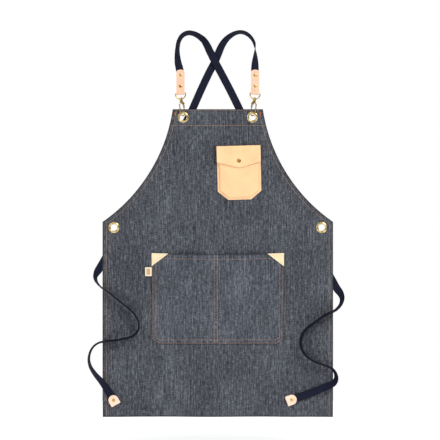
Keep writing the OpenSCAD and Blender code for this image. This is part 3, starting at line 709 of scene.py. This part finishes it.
def armhole_inward(x, z):
    middle_x = math.copysign(ARMHOLE_C.x, x)
    inward = Vector((x - middle_x, z - ARMHOLE_C.y)).normalized()
    return inward.x, inward.y


for side, word in ((-1, "left"), (1, "right")):
    armhole = [(side * half_width(z), z) for z in spaced(BIB_Z - 1, WAIST_Z, 5)]
    hem_band(word + "_armhole_fold", armhole, armhole_inward, HEM_W, word + "_armhole_hem")
    skirt_side = [(side * SKIRT_HALF, z) for z in spaced(WAIST_Z, HEM_Z + BOTTOM_HEM_H, 6)]
    hem_band(word + "_side_fold", skirt_side, lambda x, z, s=side: (-s, 0), HEM_W,
                         word + "_side_hem")
bottom = [(x, HEM_Z) for x in spaced(-SKIRT_HALF, SKIRT_HALF, 5)]
hem_band("bottom_fold", bottom, lambda x, z: (0, 1), BOTTOM_HEM_H, "bottom_hem")

# %% Bib facing
def bib_facing():
    """The wide fold at the top of the bib, which carries the eyelets: a grid behind the cloth."""
    zs = [BIB_Z + 0.1, BIB_Z - 1] + spaced(BIB_Z - 5, BIB_Z - FACING_H, 4)
    columns, side_gap, middle_y = 55, 1.2, 0.58
    pts = []
    for z in zs:
        half = half_width(z) - side_gap
        pts += [[x, 0, z] for x in np.linspace(-half, half, columns)]
    quads = pierce(pts, grid_faces(len(zs), columns), EYELETS[:2])
    for p in pts:
        p[1] = middle_y + hang(p[0], p[2])
    made = edit_all(mesh_object("bib_fold", pts, quads), DROP_LOOSE)
    thicken(made, 1.05, offset=0)
    set_edge(made, lambda x, y, z: min(9.0, BIB_Z - z + 0.5, z - BIB_Z + FACING_H + 0.5))
    return finish_piece(made, DENIM, "bib_facing", slot="denim", smooth_angle=50)


bib_facing()

# %% [markdown]
# ## The lower pocket
# One wide denim patch is sewn down at both sides, along the bottom and down the middle, which makes two
# pockets. Its mouth stands a little open and sags between the corners. The seams hold it flat, and it
# swells between them. It is a grid like the panel's, with its own depth on top of the panel's surface.

# %% Shape of the lower pocket
(_, _, POCKET_LOW), (POCKET_HALF, _, POCKET_TOP) = span("lower_pocket")
POCKET_CUT_W, POCKET_CUT_H = 17.0, 13.0
DIVIDER_X = -5.0
POCKET_GAP, MOUTH_SAG = 5.0, 3.0


def pocket_half(z):
    """Half the pocket's width at height z: less where its lower corners are cut."""
    return POCKET_HALF - POCKET_CUT_W * max(0.0, 1 - (z - POCKET_LOW) / POCKET_CUT_H)


def pocket_depth(x, z):
    """How far the lower pocket stands off the panel, in mm."""
    rise = smooth(9, 38, pocket_half(z) - abs(x)) * smooth(9, 44, z - POCKET_LOW)
    rise *= smooth(2.5, 30, abs(x - DIVIDER_X))
    return rise * (POCKET_GAP - 2.8 * (1 - smooth(POCKET_LOW + 30, POCKET_TOP, z)))


def pocket_sag(x, z):
    return -MOUTH_SAG * (1 - (x / POCKET_HALF) ** 2) * smooth(POCKET_LOW + 110, POCKET_TOP, z)


def pocket_y(x, z):
    """The front of the lower pocket, in mm. Its folded edge and mouth hem stand proud of the stitches."""
    seam = min(pocket_half(z) - abs(x), z - POCKET_LOW)
    edge = 0.3 * (1 - smooth(9.0, 11.5, seam)) - 0.3 * (1 - smooth(0, 1.5, seam))
    mouth = 0.45 * (1 - smooth(11.6, 13.4, POCKET_TOP - z)) - 0.25 * (1 - smooth(0, 1.2, POCKET_TOP - z))
    return -CLOTH_T + hang(x, z) - 1.1 - pocket_depth(x, z) - max(edge, mouth)


def cloth_grid(name, rows, columns_of, place, thickness):
    """A grid whose front faces -Y, given its thickness towards the back."""
    table = [columns_of(z) for z in rows]
    pts = [place(x, z) for z, xs in zip(rows, table) for x in xs]
    quads = [q[::-1] for q in grid_faces(len(rows), len(table[0]))]
    return thicken(mesh_object(name, pts, quads), thickness)


def edged(half, count, steps=(0, 0.6, 1.6, 4, 7, 9.4, 11, 12.6, 15)):
    """Columns from -half to half, closer together at both edges."""
    side = [half - s for s in steps]
    return [-s for s in side] + list(np.linspace(-side[-1], side[-1], count + 1)[1:-1]) + side[::-1]


mouth_rows = [POCKET_TOP - d for d in (0, 0.6, 1.6, 4, 7, 10, 11.8, 13, 14.2, 17)]
low_rows = [POCKET_LOW + d for d in (18, 15, 13, 11, 9.4, 7, 4, 1.6, 0.6, 0)]
lower_pocket = cloth_grid(
    "lower_pocket_cloth", mouth_rows + spaced(POCKET_TOP - 20, POCKET_LOW + 21, 4) + low_rows,
    lambda z: edged(pocket_half(z), 80), lambda x, z: (x, pocket_y(x, z), z + pocket_sag(x, z)), CLOTH_T)


def pocket_edge(x, y, z):
    return max(0.0, min(pocket_half(min(z, POCKET_TOP)) - abs(x), z - POCKET_LOW,
                        POCKET_TOP + pocket_sag(x, POCKET_TOP) - z))


set_edge(lower_pocket, pocket_edge)
finish_piece(lower_pocket, POCKET_DENIM, "lower_pocket", slot="denim", smooth_angle=60)

# %% [markdown]
# ## Leather corner patches and the side label
# Two leather triangles strengthen the ends of the pocket's mouth, where it would tear. Each is cut from a
# flat grid with a bisect, laid on the pocket's surface, given its thickness, and its cut edge is rounded
# with a small bevel. The folded label in the left seam is made in the same way, and stays blank.

# %% Flat pieces laid on the cloth
def flat_piece(name, centre, size, cells, cut=None):
    """A grid in the XZ plane, in mm, cut by a plane given as (point, normal away from the piece)."""
    leave_all()
    bpy.ops.mesh.primitive_grid_add(x_subdivisions=cells[0], y_subdivisions=cells[1], size=1)
    made = bpy.context.object
    made.name = made.data.name = name
    for v in made.data.vertices:
        v.co = ((v.co.x * size[0] + centre[0]) * MM, 0, (v.co.y * size[1] + centre[1]) * MM)
    if cut:
        (x, z), (nx, nz) = cut
        edit_all(made, (bpy.ops.mesh.bisect, {"plane_co": (x * MM, 0, z * MM), "plane_no": (nx, 0, nz),
                                              "clear_outer": True}))
    return made


def lay_on(obj, surface, lift, thickness, bevel=0.3, sag=None):
    """Puts a flat piece lift mm in front of surface(x, z), with thickness towards the cloth."""
    for v in obj.data.vertices:
        x, z = v.co.x / MM, v.co.z / MM
        v.co.y = (surface(x, z) - lift) * MM
        if sag:
            v.co.z += sag(x, z) * MM
    edit_all(obj, FACE_OUT)
    if sum(p.normal.y for p in obj.data.polygons) > 0:
        obj.data.flip_normals()
    thicken(obj, thickness)
    return round_edges(obj, bevel, 50)


PATCH_W, PATCH_H, PATCH_T, PATCH_LIFT = 43.0, 34.0, 1.3, 1.35
for side, word in ((-1, "left"), (1, "right")):
    corner = (side * POCKET_HALF, POCKET_TOP)
    hypotenuse = Vector((-side * PATCH_H, -PATCH_W)).normalized()
    patch = flat_piece(word + "_corner_leather",
                       (corner[0] - side * PATCH_W / 2, corner[1] - PATCH_H / 2),
                       (PATCH_W, PATCH_H), (26, 22),
                       ((corner[0] - side * PATCH_W, corner[1]), hypotenuse))
    lay_on(patch, pocket_y, PATCH_LIFT, PATCH_T, sag=pocket_sag)

    def patch_edge(x, y, z, corner=corner, away=hypotenuse):
        to_line = -((x - corner[0] + side * PATCH_W) * away.x + (z - corner[1]) * away.y)
        return max(0.0, min(abs(x - corner[0]), corner[1] - z + pocket_sag(x, corner[1]), to_line))

    set_edge(patch, patch_edge)
    finish_piece(patch, PATCH_LEATHER, word + "_corner_patch", slot="patch_leather")

LABEL_C, (LABEL_W, LABEL_H) = middle_of("side_label"), (17.0, 23.0)
label = flat_piece("side_woven_label", LABEL_C, (LABEL_W, LABEL_H), (10, 14))
lay_on(label, panel_y, 1.45, 1.3, bevel=0.4)
set_edge(label, lambda x, y, z: min(LABEL_W / 2 - abs(x - LABEL_C[0]), LABEL_H / 2 - abs(z - LABEL_C[1])))
finish_piece(label, LABEL, "side_label", slot="patch_leather")

# %% [markdown]
# ## The chest pocket
# The small pocket is thick leather, wetted and pressed over a block, so that it stands out from the bib
# like a shallow box, with a flat rim that is sewn down. It leans a degree and a half. The flap is a
# second piece of leather that starts on the bib, folds over the front and ends in a blunt point, and a
# snap closes it. The flap is one piece, kept out of the apron's body.

# %% The chest pocket's own frame
CHEST_X, CHEST_Z, CHEST_LEAN = 53.5, -301.0, math.radians(1.5)
CHEST_HALF, CHEST_MOUTH, CHEST_LOW = 56.5, -16.0, -140.0
CHEST_CUT_W, CHEST_CUT_H = 27.0, 22.0
CHEST_FACE_Y, LEATHER_T = -7.6, 1.6


def chest(lx, y, lz):
    """A point of the chest pocket's own frame in the apron's frame, in mm."""
    c, s = math.cos(CHEST_LEAN), math.sin(CHEST_LEAN)
    return (CHEST_X + c * lx - s * lz, y, CHEST_Z + s * lx + c * lz)


def from_chest(x, z):
    c, s = math.cos(CHEST_LEAN), math.sin(CHEST_LEAN)
    return c * (x - CHEST_X) + s * (z - CHEST_Z), -s * (x - CHEST_X) + c * (z - CHEST_Z)


def chest_half(lz):
    return CHEST_HALF - CHEST_CUT_W * max(0.0, 1 - (lz - CHEST_LOW) / CHEST_CUT_H)


def chest_rim(lx, lz):
    """Distance to the sides, the bottom and the cut corners."""
    cut = math.hypot(CHEST_CUT_W, CHEST_CUT_H)
    past = (CHEST_HALF - abs(lx)) * CHEST_CUT_H + (lz - CHEST_LOW) * CHEST_CUT_W
    return max(0.0, min(CHEST_HALF - abs(lx), lz - CHEST_LOW, (past - CHEST_CUT_W * CHEST_CUT_H) / cut))


def chest_y(lx, lz):
    rim_y = -CLOTH_T - LEATHER_T - 0.05
    return rim_y + (CHEST_FACE_Y - rim_y) * smooth(3.2, 8.0, chest_rim(lx, lz))


chest_rows = [CHEST_MOUTH - d for d in (0, 0.5, 2)] + spaced(CHEST_MOUTH - 4, CHEST_LOW + 24, 2.2)
chest_rows += spaced(CHEST_LOW + 22, CHEST_LOW + 0.5, 1.6) + [CHEST_LOW]
chest_pocket = cloth_grid(
    "chest_pocket_leather", chest_rows,
    lambda z: edged(chest_half(z), 34, (0, 0.5, 1.4, 2.4, 3.3, 4.2, 5.1, 6.0, 6.9, 7.8, 9.0)),
    lambda x, z: chest(x, chest_y(x, z), z), LEATHER_T)
round_edges(chest_pocket, 0.4)
set_edge(chest_pocket, lambda x, y, z: chest_rim(*from_chest(x, z)))
finish_piece(chest_pocket, POCKET_LEATHER, "chest_pocket", slot="pocket_leather", smooth_angle=50)

# %% The flap
FLAP_SIDE, FLAP_POINT, FLAP_POINT_X = -42.0, -57.0, 3.0
FLAP_Y, FLAP_HALF = -11.4, CHEST_HALF + 0.5
FLAP_TURN = [(-1.05, 0.0), (-3, 0.0), (-6, 0.0), (-8.4, 0.0), (-9.7, -0.2), (-10.7, -0.8), (-11.25, -1.7),
             (-11.4, -3.0), (-11.25, -4.4), (-11.1, -5.4), (-11.3, -6.6)]


def flap_end(lx):
    side = -CHEST_HALF if lx < FLAP_POINT_X else CHEST_HALF
    return FLAP_POINT + (FLAP_SIDE - FLAP_POINT) * (lx - FLAP_POINT_X) / (side - FLAP_POINT_X)


def make_flap():
    """Rows down the flap: first the fold, then the face, which curls in a little at its two sides."""
    fold_z = FLAP_TURN[-1][1]
    rows_of = [lambda lx, p=p: p for p in FLAP_TURN]
    for t in np.linspace(0, 1, 22)[1:]:
        rows_of.append(lambda lx, t=t: (
            FLAP_Y - 0.7 * smooth(0.55, 1.0, t) * smooth(14, 50, abs(lx)) + 0.15 * math.sin(lx / 13),
            fold_z + (flap_end(lx) - fold_z) * t))
    xs = edged(FLAP_HALF, 40, (0, 0.5, 1.5, 3.5))
    pts = [chest(lx, *row(lx)) for row in rows_of for lx in xs]
    quads = [q[::-1] for q in grid_faces(len(rows_of), len(xs))]
    made = thicken(mesh_object("chest_flap_leather", pts, quads), LEATHER_T)
    return round_edges(made, 0.4)


def flap_edge(x, y, z):
    lx, lz = from_chest(x, z)
    to_crease = 1.4 + abs(lz + 5.4) if lz > -20 else 99
    return max(0.0, min(FLAP_HALF - abs(lx), lz - flap_end(lx), to_crease))


flap = make_flap()
set_edge(flap, flap_edge)
finish_piece(flap, POCKET_LEATHER, "chest_flap", "flap_band", body=None, slot="pocket_leather",
             smooth_angle=50)
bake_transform(flap)

# %% [markdown]
# ## Leather strap ends and tie tabs
# Each strap ends in a piece of leather that goes round the bar of the D-ring and is riveted to both
# faces of the webbing. It is one strip bent to a U: rows follow the U, and columns go across. The bar
# leans a little with the hook, so the fold leans with it. The tie tabs are two leather plates riveted
# over the end of the webbing, cut from a round: extruded, bevelled and stacked.

# %% Strap ends
STRAP_X, BAR_Z, LOOP_L, LOOP_HALF, LOOP_T = 97.0, -165.0, 62.0, 11.0, 2.0
ARCH_R = 2 * LOOP_HALF * 0.7
RING_LEAN = math.radians(5.9)


def arch_half(z):
    top = BAR_Z + LOOP_L
    up = z - (top - ARCH_R)
    return min(LOOP_HALF, math.sqrt(max(0.5, ARCH_R ** 2 - up * up))) if up > 0 else LOOP_HALF


def strap_end(side, word):
    outer, fold_r = WEB_T / 2 + LOOP_T, 1.45 + LOOP_T
    top = BAR_Z + LOOP_L
    down = [top - d for d in (0.1, 0.5, 1.2, 2.4, 4, 6, 8.5, 11)] + spaced(top - 14, BAR_Z + 6, 3)
    path = [(-outer, z) for z in down]
    path += [(-fold_r * math.cos(a), BAR_Z - fold_r * math.sin(a))
             for a in np.linspace(-0.45, math.pi + 0.45, 19)]
    path += [(outer, z) for z in reversed(down)]
    across = list(np.linspace(-1, 1, 15))
    pts = []
    for y, z in path:
        for u in across:
            x = u * arch_half(z)
            lean = -side * math.tan(RING_LEAN) * x * smooth(BAR_Z + 16, BAR_Z + 3, z)
            pts.append((side * STRAP_X + x, y, z + lean))
    quads = [q[::-1] for q in grid_faces(len(path), len(across))]
    made = thicken(mesh_object(word + "_strap_leather", pts, quads), LOOP_T * 0.96)
    round_edges(made, 0.45)
    set_edge(made, lambda x, y, z: arch_half(z) - abs(x - side * STRAP_X))
    finish_piece(made, STRAP_LEATHER, word + "_strap_end", slot="strap_leather", smooth_angle=50)


strap_end(-1, "left")
strap_end(1, "right")

# %% Tie tabs
TAB_R, TAB_CUT, TAB_Y = 13.0, 14.0, -4.8


def tab_plate(y, thickness, inset):
    """One leather plate in its own frame: a round whose inner half is drawn out to a straight cut."""
    leave_all()
    bpy.ops.mesh.primitive_circle_add(vertices=56, radius=(TAB_R - inset) * MM, fill_type="NGON")
    made = bpy.context.object
    for v in made.data.vertices:
        if v.co.x > 1e-5:
            v.co.x = (TAB_CUT - inset) * MM
    up = {"value": (0, 0, thickness * MM)}
    edit_all(made, MERGE, (bpy.ops.mesh.inset, {"thickness": 0.9 * MM}),
             (bpy.ops.mesh.extrude_region_move, {"TRANSFORM_OT_translate": up}), MERGE, FACE_OUT)
    round_edges(made, 0.3, 50)
    for v in made.data.vertices:
        v.co.z += (y - thickness / 2) * MM
    return made


def tie_tab(word, place, turn):
    """Two plates with the webbing's end and a filling plate between them, turned to lie along the tie."""
    plates = [tab_plate(-1.5, 1.4, 0), tab_plate(1.5, 1.4, 0), tab_plate(0, 1.7, 1.4)]
    leave_all()
    for plate in plates:
        plate.select_set(True)
    bpy.context.view_layer.objects.active = plates[0]
    bpy.ops.object.join()
    made = plates[0]
    made.name = made.data.name = word + "_tab_leather"
    angle = math.radians(turn)
    for v in made.data.vertices:
        x, up, z = v.co.x, -v.co.y, v.co.z
        v.co = Vector((place[0] * MM + x * math.cos(angle) + up * math.sin(angle), TAB_Y * MM + z,
                       place[1] * MM - x * math.sin(angle) + up * math.cos(angle)))
    edit_all(made, MERGE, FACE_OUT)
    set_edge(made, lambda x, y, z: TAB_R - math.hypot(x - place[0], z - place[1]))
    return finish_piece(made, STRAP_LEATHER, word + "_tie_tab", slot="tab_leather")


tabs = [tie_tab("left", LEFT_TAB, 60.6), tie_tab("right", RIGHT_TAB, 159.9)]

# %% [markdown]
# ## Stitching
# Seams are rows of short raised stitches, about 3 mm long with a small gap. One stitch is modelled from a
# coarse sphere, drawn out and bent so that its ends dip into the cloth. A row copies it along a line on
# the cloth's surface and becomes one mesh, so thousands of stitches stay light.

# %% One stitch, and a row of them
def one_stitch():
    leave_all()
    bpy.ops.mesh.primitive_uv_sphere_add(segments=6, ring_count=5, radius=0.5)
    made = bpy.context.object
    edit_all(made, (bpy.ops.transform.rotate, {"value": math.radians(90), "orient_axis": "Y",
                                               "center_override": (0, 0, 0)}),
             (bpy.ops.mesh.quads_convert_to_tris, {}))
    pts = np.array([v.co for v in made.data.vertices])
    pts[:, 2] -= 1.1 * pts[:, 0] ** 2
    tris = np.array([p.vertices for p in made.data.polygons])
    bpy.data.objects.remove(made)
    return pts, tris


STITCH_POINTS, STITCH_FACES = one_stitch()


def resample(line, pitch):
    """Points and directions every pitch mm along a line of (x, z)."""
    line = [np.array(p, float) for p in line]
    gaps = [np.linalg.norm(b - a) for a, b in zip(line, line[1:])]
    total = sum(gaps)
    out, i, done = [], 0, 0.0
    for s in np.arange(pitch / 2, total, pitch):
        while i < len(gaps) - 1 and done + gaps[i] < s:
            done += gaps[i]
            i += 1
        way = (line[i + 1] - line[i]) / gaps[i]
        out.append((line[i] + way * (s - done), way))
    return out


def stitch_mesh(name, stitches, surface, length=3.1, width=0.95, height=0.8, front=-1):
    """One mesh of stitches, given as (point, way) pairs in the XZ plane. front is -1 for the cloth's front
    and 1 for its back."""
    all_points, all_faces = [], []
    for (x, z), (wx, wz) in stitches:
        along = np.array([wx, 0, wz])
        slope = (surface(x + wx, z + wz) - surface(x - wx, z - wz)) / 2
        along = (along + np.array([0, slope, 0])) / math.hypot(1, slope)
        side = np.array([-wz, 0, wx])
        up = np.array([0.0, front, 0.0])
        centre = np.array([x, surface(x, z), z]) + up * 0.12
        p = STITCH_POINTS
        world = centre + np.outer(p[:, 0] * length, along) + np.outer(p[:, 1] * width, side) \
            + np.outer(p[:, 2] * height, up)
        turned = STITCH_FACES if np.dot(np.cross(along, side), up) > 0 else STITCH_FACES[:, ::-1]
        all_faces += (turned + len(all_points) * len(p)).tolist()
        all_points.append(world)
    return mesh_object(name, np.concatenate(all_points).tolist(), all_faces)


def seam(name, lines, surface, material, pitch=3.9, slot="tack_thread", **sizes):
    stitches = [s for line in lines for s in resample(line, pitch)]
    print("seam", name, len(stitches), "stitches")
    return finish_piece(stitch_mesh(name, stitches, surface, **sizes), material, slot=slot,
                        smooth_angle=70)


def u_line(d, half, top, low, cut_w, cut_h):
    """The line d mm inside a pocket's sides, cut corners and bottom, from one upper end to the other."""
    tilt = math.hypot(cut_w, cut_h)
    drop, shift = d * (tilt - cut_w) / cut_h, d * (tilt - cut_h) / cut_w
    right = [(half - d, top), (half - d, low + cut_h + drop), (half - cut_w - shift, low + d)]
    return [(-a, b) for a, b in right] + [(a, b) for a, b in reversed(right)]


print("one stitch:", len(STITCH_FACES), "triangles")

# %% Seams of the panel
FACING_SEAM_Z = BIB_Z - FACING_H - 1.2
facing_seam_half = half_width(FACING_SEAM_Z) - 1.5


def inset_side(side, d, z0, z1):
    return [(side * (half_width(z) - d / side_slope(z)), z) for z in spaced(z0, z1, 6)]


seam("bib_stitching", [[(-108, BIB_Z - 2.4), (108, BIB_Z - 2.4)],
                       [(-facing_seam_half, FACING_SEAM_Z), (facing_seam_half, FACING_SEAM_Z)]],
     panel_y, COPPER_THREAD)
seam("edge_stitching", [inset_side(s, 9.8, a, b) for s in (-1, 1)
                        for a, b in ((BIB_Z - 3, WAIST_Z - 3), (WAIST_Z - 6, HEM_Z + 3))],
     panel_y, COPPER_THREAD)
seam("bottom_stitching", [[(-290, HEM_Z + 18.5), (290, HEM_Z + 18.5)]], panel_y, NAVY_THREAD,
     slot="navy_webbing")

# %% Seams of the lower pocket
def pocket_front(x, z):
    return pocket_y(x, min(z, POCKET_TOP))


def pocket_ring(d):
    return u_line(d, POCKET_HALF, POCKET_TOP - 2, POCKET_LOW, POCKET_CUT_W, POCKET_CUT_H)


def mouth_line(d):
    return [(x, POCKET_TOP - d + pocket_sag(x, POCKET_TOP - d)) for x in spaced(-164, 164, 6)]


divider_lines = [[(x, POCKET_TOP - 3), (x, POCKET_LOW + 2)] for x in (DIVIDER_X - 4, DIVIDER_X + 4)]
seam("pocket_stitching", [pocket_ring(2.6), pocket_ring(11.2), mouth_line(13.0)] + divider_lines,
     pocket_front, COPPER_THREAD)

# %% Seams of the leather
def on_chest(x, z):
    lx, lz = from_chest(x, z)
    return chest_y(lx, min(lz, CHEST_MOUTH))


def chest_line(d):
    line = u_line(d, CHEST_HALF, CHEST_MOUTH - 28, CHEST_LOW, CHEST_CUT_W, CHEST_CUT_H)
    return [chest(a, 0, b)[::2] for a, b in line]


seam("chest_pocket_stitching", [chest_line(2.3)], on_chest, CREAM_THREAD, pitch=3.6, slot="pocket_leather",
     length=2.9, width=0.7)


patch_lines = []
for side in (-1, 1):
    corner = (side * (POCKET_HALF - 3), POCKET_TOP - 3)
    along = (side * (POCKET_HALF - 36), POCKET_TOP - 3)
    down = (side * (POCKET_HALF - 3), POCKET_TOP - 28)
    patch_lines.append([corner, along, down, corner])
seam("patch_stitching", patch_lines, lambda x, z: pocket_y(x, z) - PATCH_LIFT, CREAM_THREAD, pitch=3.4,
     slot="patch_leather", length=2.6, width=0.7)

# %% Bar tacks and the box tacks of the straps
BAR_TACK_X, BAR_TACK_Z = 111.0, -217


def bar_tack(x):
    return [((x, BAR_TACK_Z + d), (1, 0)) for d in np.arange(-4, 4.1, 0.9)]


tacks = stitch_mesh("bib_bar_tacks", bar_tack(-BAR_TACK_X) + bar_tack(BAR_TACK_X),
                    lambda x, z: panel_y(x, z) - 0.2, length=3.6, width=1.25, height=1.1)
finish_piece(tacks, TACK_THREAD, slot="tack_thread")


def box_tack(node, route):
    """A sewn box with a cross in it, on the back of the strap where it meets the side hem."""
    half_box = 6.5
    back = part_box(node)[1].y / MM
    (x0, _, z0), (x1, _, z1) = [[v / MM for v in corner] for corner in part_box(node)]
    centre = np.array([(x0 + x1) / 2, (z0 + z1) / 2])
    way = (np.array(route[-1]) - np.array(route[-2]))[[0, 2]]
    way = way / np.linalg.norm(way)
    side = np.array([-way[1], way[0]])
    corner = [centre + (way * u + side * v) * half_box for u, v in ((-1, -1), (1, -1), (1, 1), (-1, 1))]
    lines = [corner + [corner[0]], [corner[0], corner[2]], [corner[1], corner[3]]]
    stitches = [s for line in lines for s in resample(line, 2.6)]
    made = stitch_mesh(node + "_stitches", stitches, lambda x, z: back - 0.35,
                       length=2.3, width=0.8, front=1)
    return finish_piece(made, NAVY_THREAD, node, slot="tack_thread")


box_tack("left_strap_tack", RIGHT_SHOULDER_ROUTE)
box_tack("right_strap_tack", LEFT_SHOULDER_ROUTE)

# %% [markdown]
# ## Finish of the metal parts
# Eyelets, washers, rings, hooks, gates, rivets and the snap have the right shape already, so they only
# get their brass. The snap is darker, as it is antique plated.

# %% Brass on the frame's parts
def dress(node, material):
    slots = nodes[node].data.materials
    slots.clear()
    slots.append(material)


BRASS_OF = {EYELET_BRASS: ("bib_eyelet", "waist_eyelet", "bib_washer", "waist_washer"),
            HOOK_BRASS: ("d_ring", "hook", "gate", "gate_pin", "gate_spring"),
            RIVET_BRASS: ("strap_rivets", "tab_rivet")}
for material, parts in BRASS_OF.items():
    for part in parts:
        dress("left_" + part, material)
        dress("right_" + part, material)
for part in ("snap_stud", "snap_cap", "snap_socket"):
    dress(part, SNAP_BRASS)
print("brass on", sum(1 for n in nodes.values() if not n.hide_render), "parts")

# %% [markdown]
# ## Cords and sheets
# The ties are free cords, held at the side hem and ending in their leather tabs. The straps, the panel and
# the pocket are cloth. The panel's cut is not a rectangle.

# %% [markdown]
# ## The room
# A white floor under the hem, a white room that is brighter above than below, and soft lamps: the high
# one gives the cloth a light side and small shadows, and the brass has something to reflect.

# %% Floor, world and lamps
FLOOR_Z = -1.075
leave_all()
bpy.ops.mesh.primitive_plane_add(size=1)
floor = bpy.context.object
floor.name = floor.data.name = "floor"
for v in floor.data.vertices:
    v.co = (v.co.x * 5, v.co.y * 4 - 0.6, FLOOR_Z)
floor_material, floor_tree, floor_shader = start_material("plain_pale_floor", 0.9)
floor_noise = noise(floor_tree, own_coords(floor_tree), (400, 400, 400), 2.0)
floor_colour = ramp(floor_tree, floor_noise, [(0.3, "#F7F7F6"), (0.7, "#FCFCFB")])
floor_tree.links.new(floor_colour, floor_shader.inputs["Base Color"])
floor_shader.inputs["Emission Color"].default_value = (1, 1, 1, 1)
floor_shader.inputs["Emission Strength"].default_value = 0.3
floor.data.materials.append(floor_material)

world = bpy.data.worlds.new("white_room")
world.use_nodes = True
tree = world.node_tree
toward = add(tree, "ShaderNodeSeparateXYZ",
             {"Vector": add(tree, "ShaderNodeTexCoord").outputs["Generated"]})
above = fade(tree, toward.outputs["Z"], -0.7, 0.8)
room = ramp(tree, above, [(0.0, "#6A6A6C"), (0.5, "#A6A7AA"), (1.0, "#E8E9EB")])
seen = add(tree, "ShaderNodeLightPath").outputs["Is Camera Ray"]
tree.links.new(mix(tree, seen, room, linear("#FFFFFF")), tree.nodes["Background"].inputs["Color"])
scene.world = world


def lamp(name, place, size, power):
    data = bpy.data.lights.new(name, "AREA")
    data.size, data.energy = size, power
    made = bpy.data.objects.new(name, data)
    made.location = place
    made.rotation_euler = (VIEW_CENTRE - Vector(place)).to_track_quat("-Z", "Y").to_euler()
    scene.collection.objects.link(made)
    return made


lamp("key_lamp", (1.9, -2.4, 1.9), 1.0, 78)
lamp("fill_lamp", (-2.6, -2.6, 0.2), 1.8, 22)
lamp("back_lamp", (1.2, 2.8, 1.4), 1.6, 30)
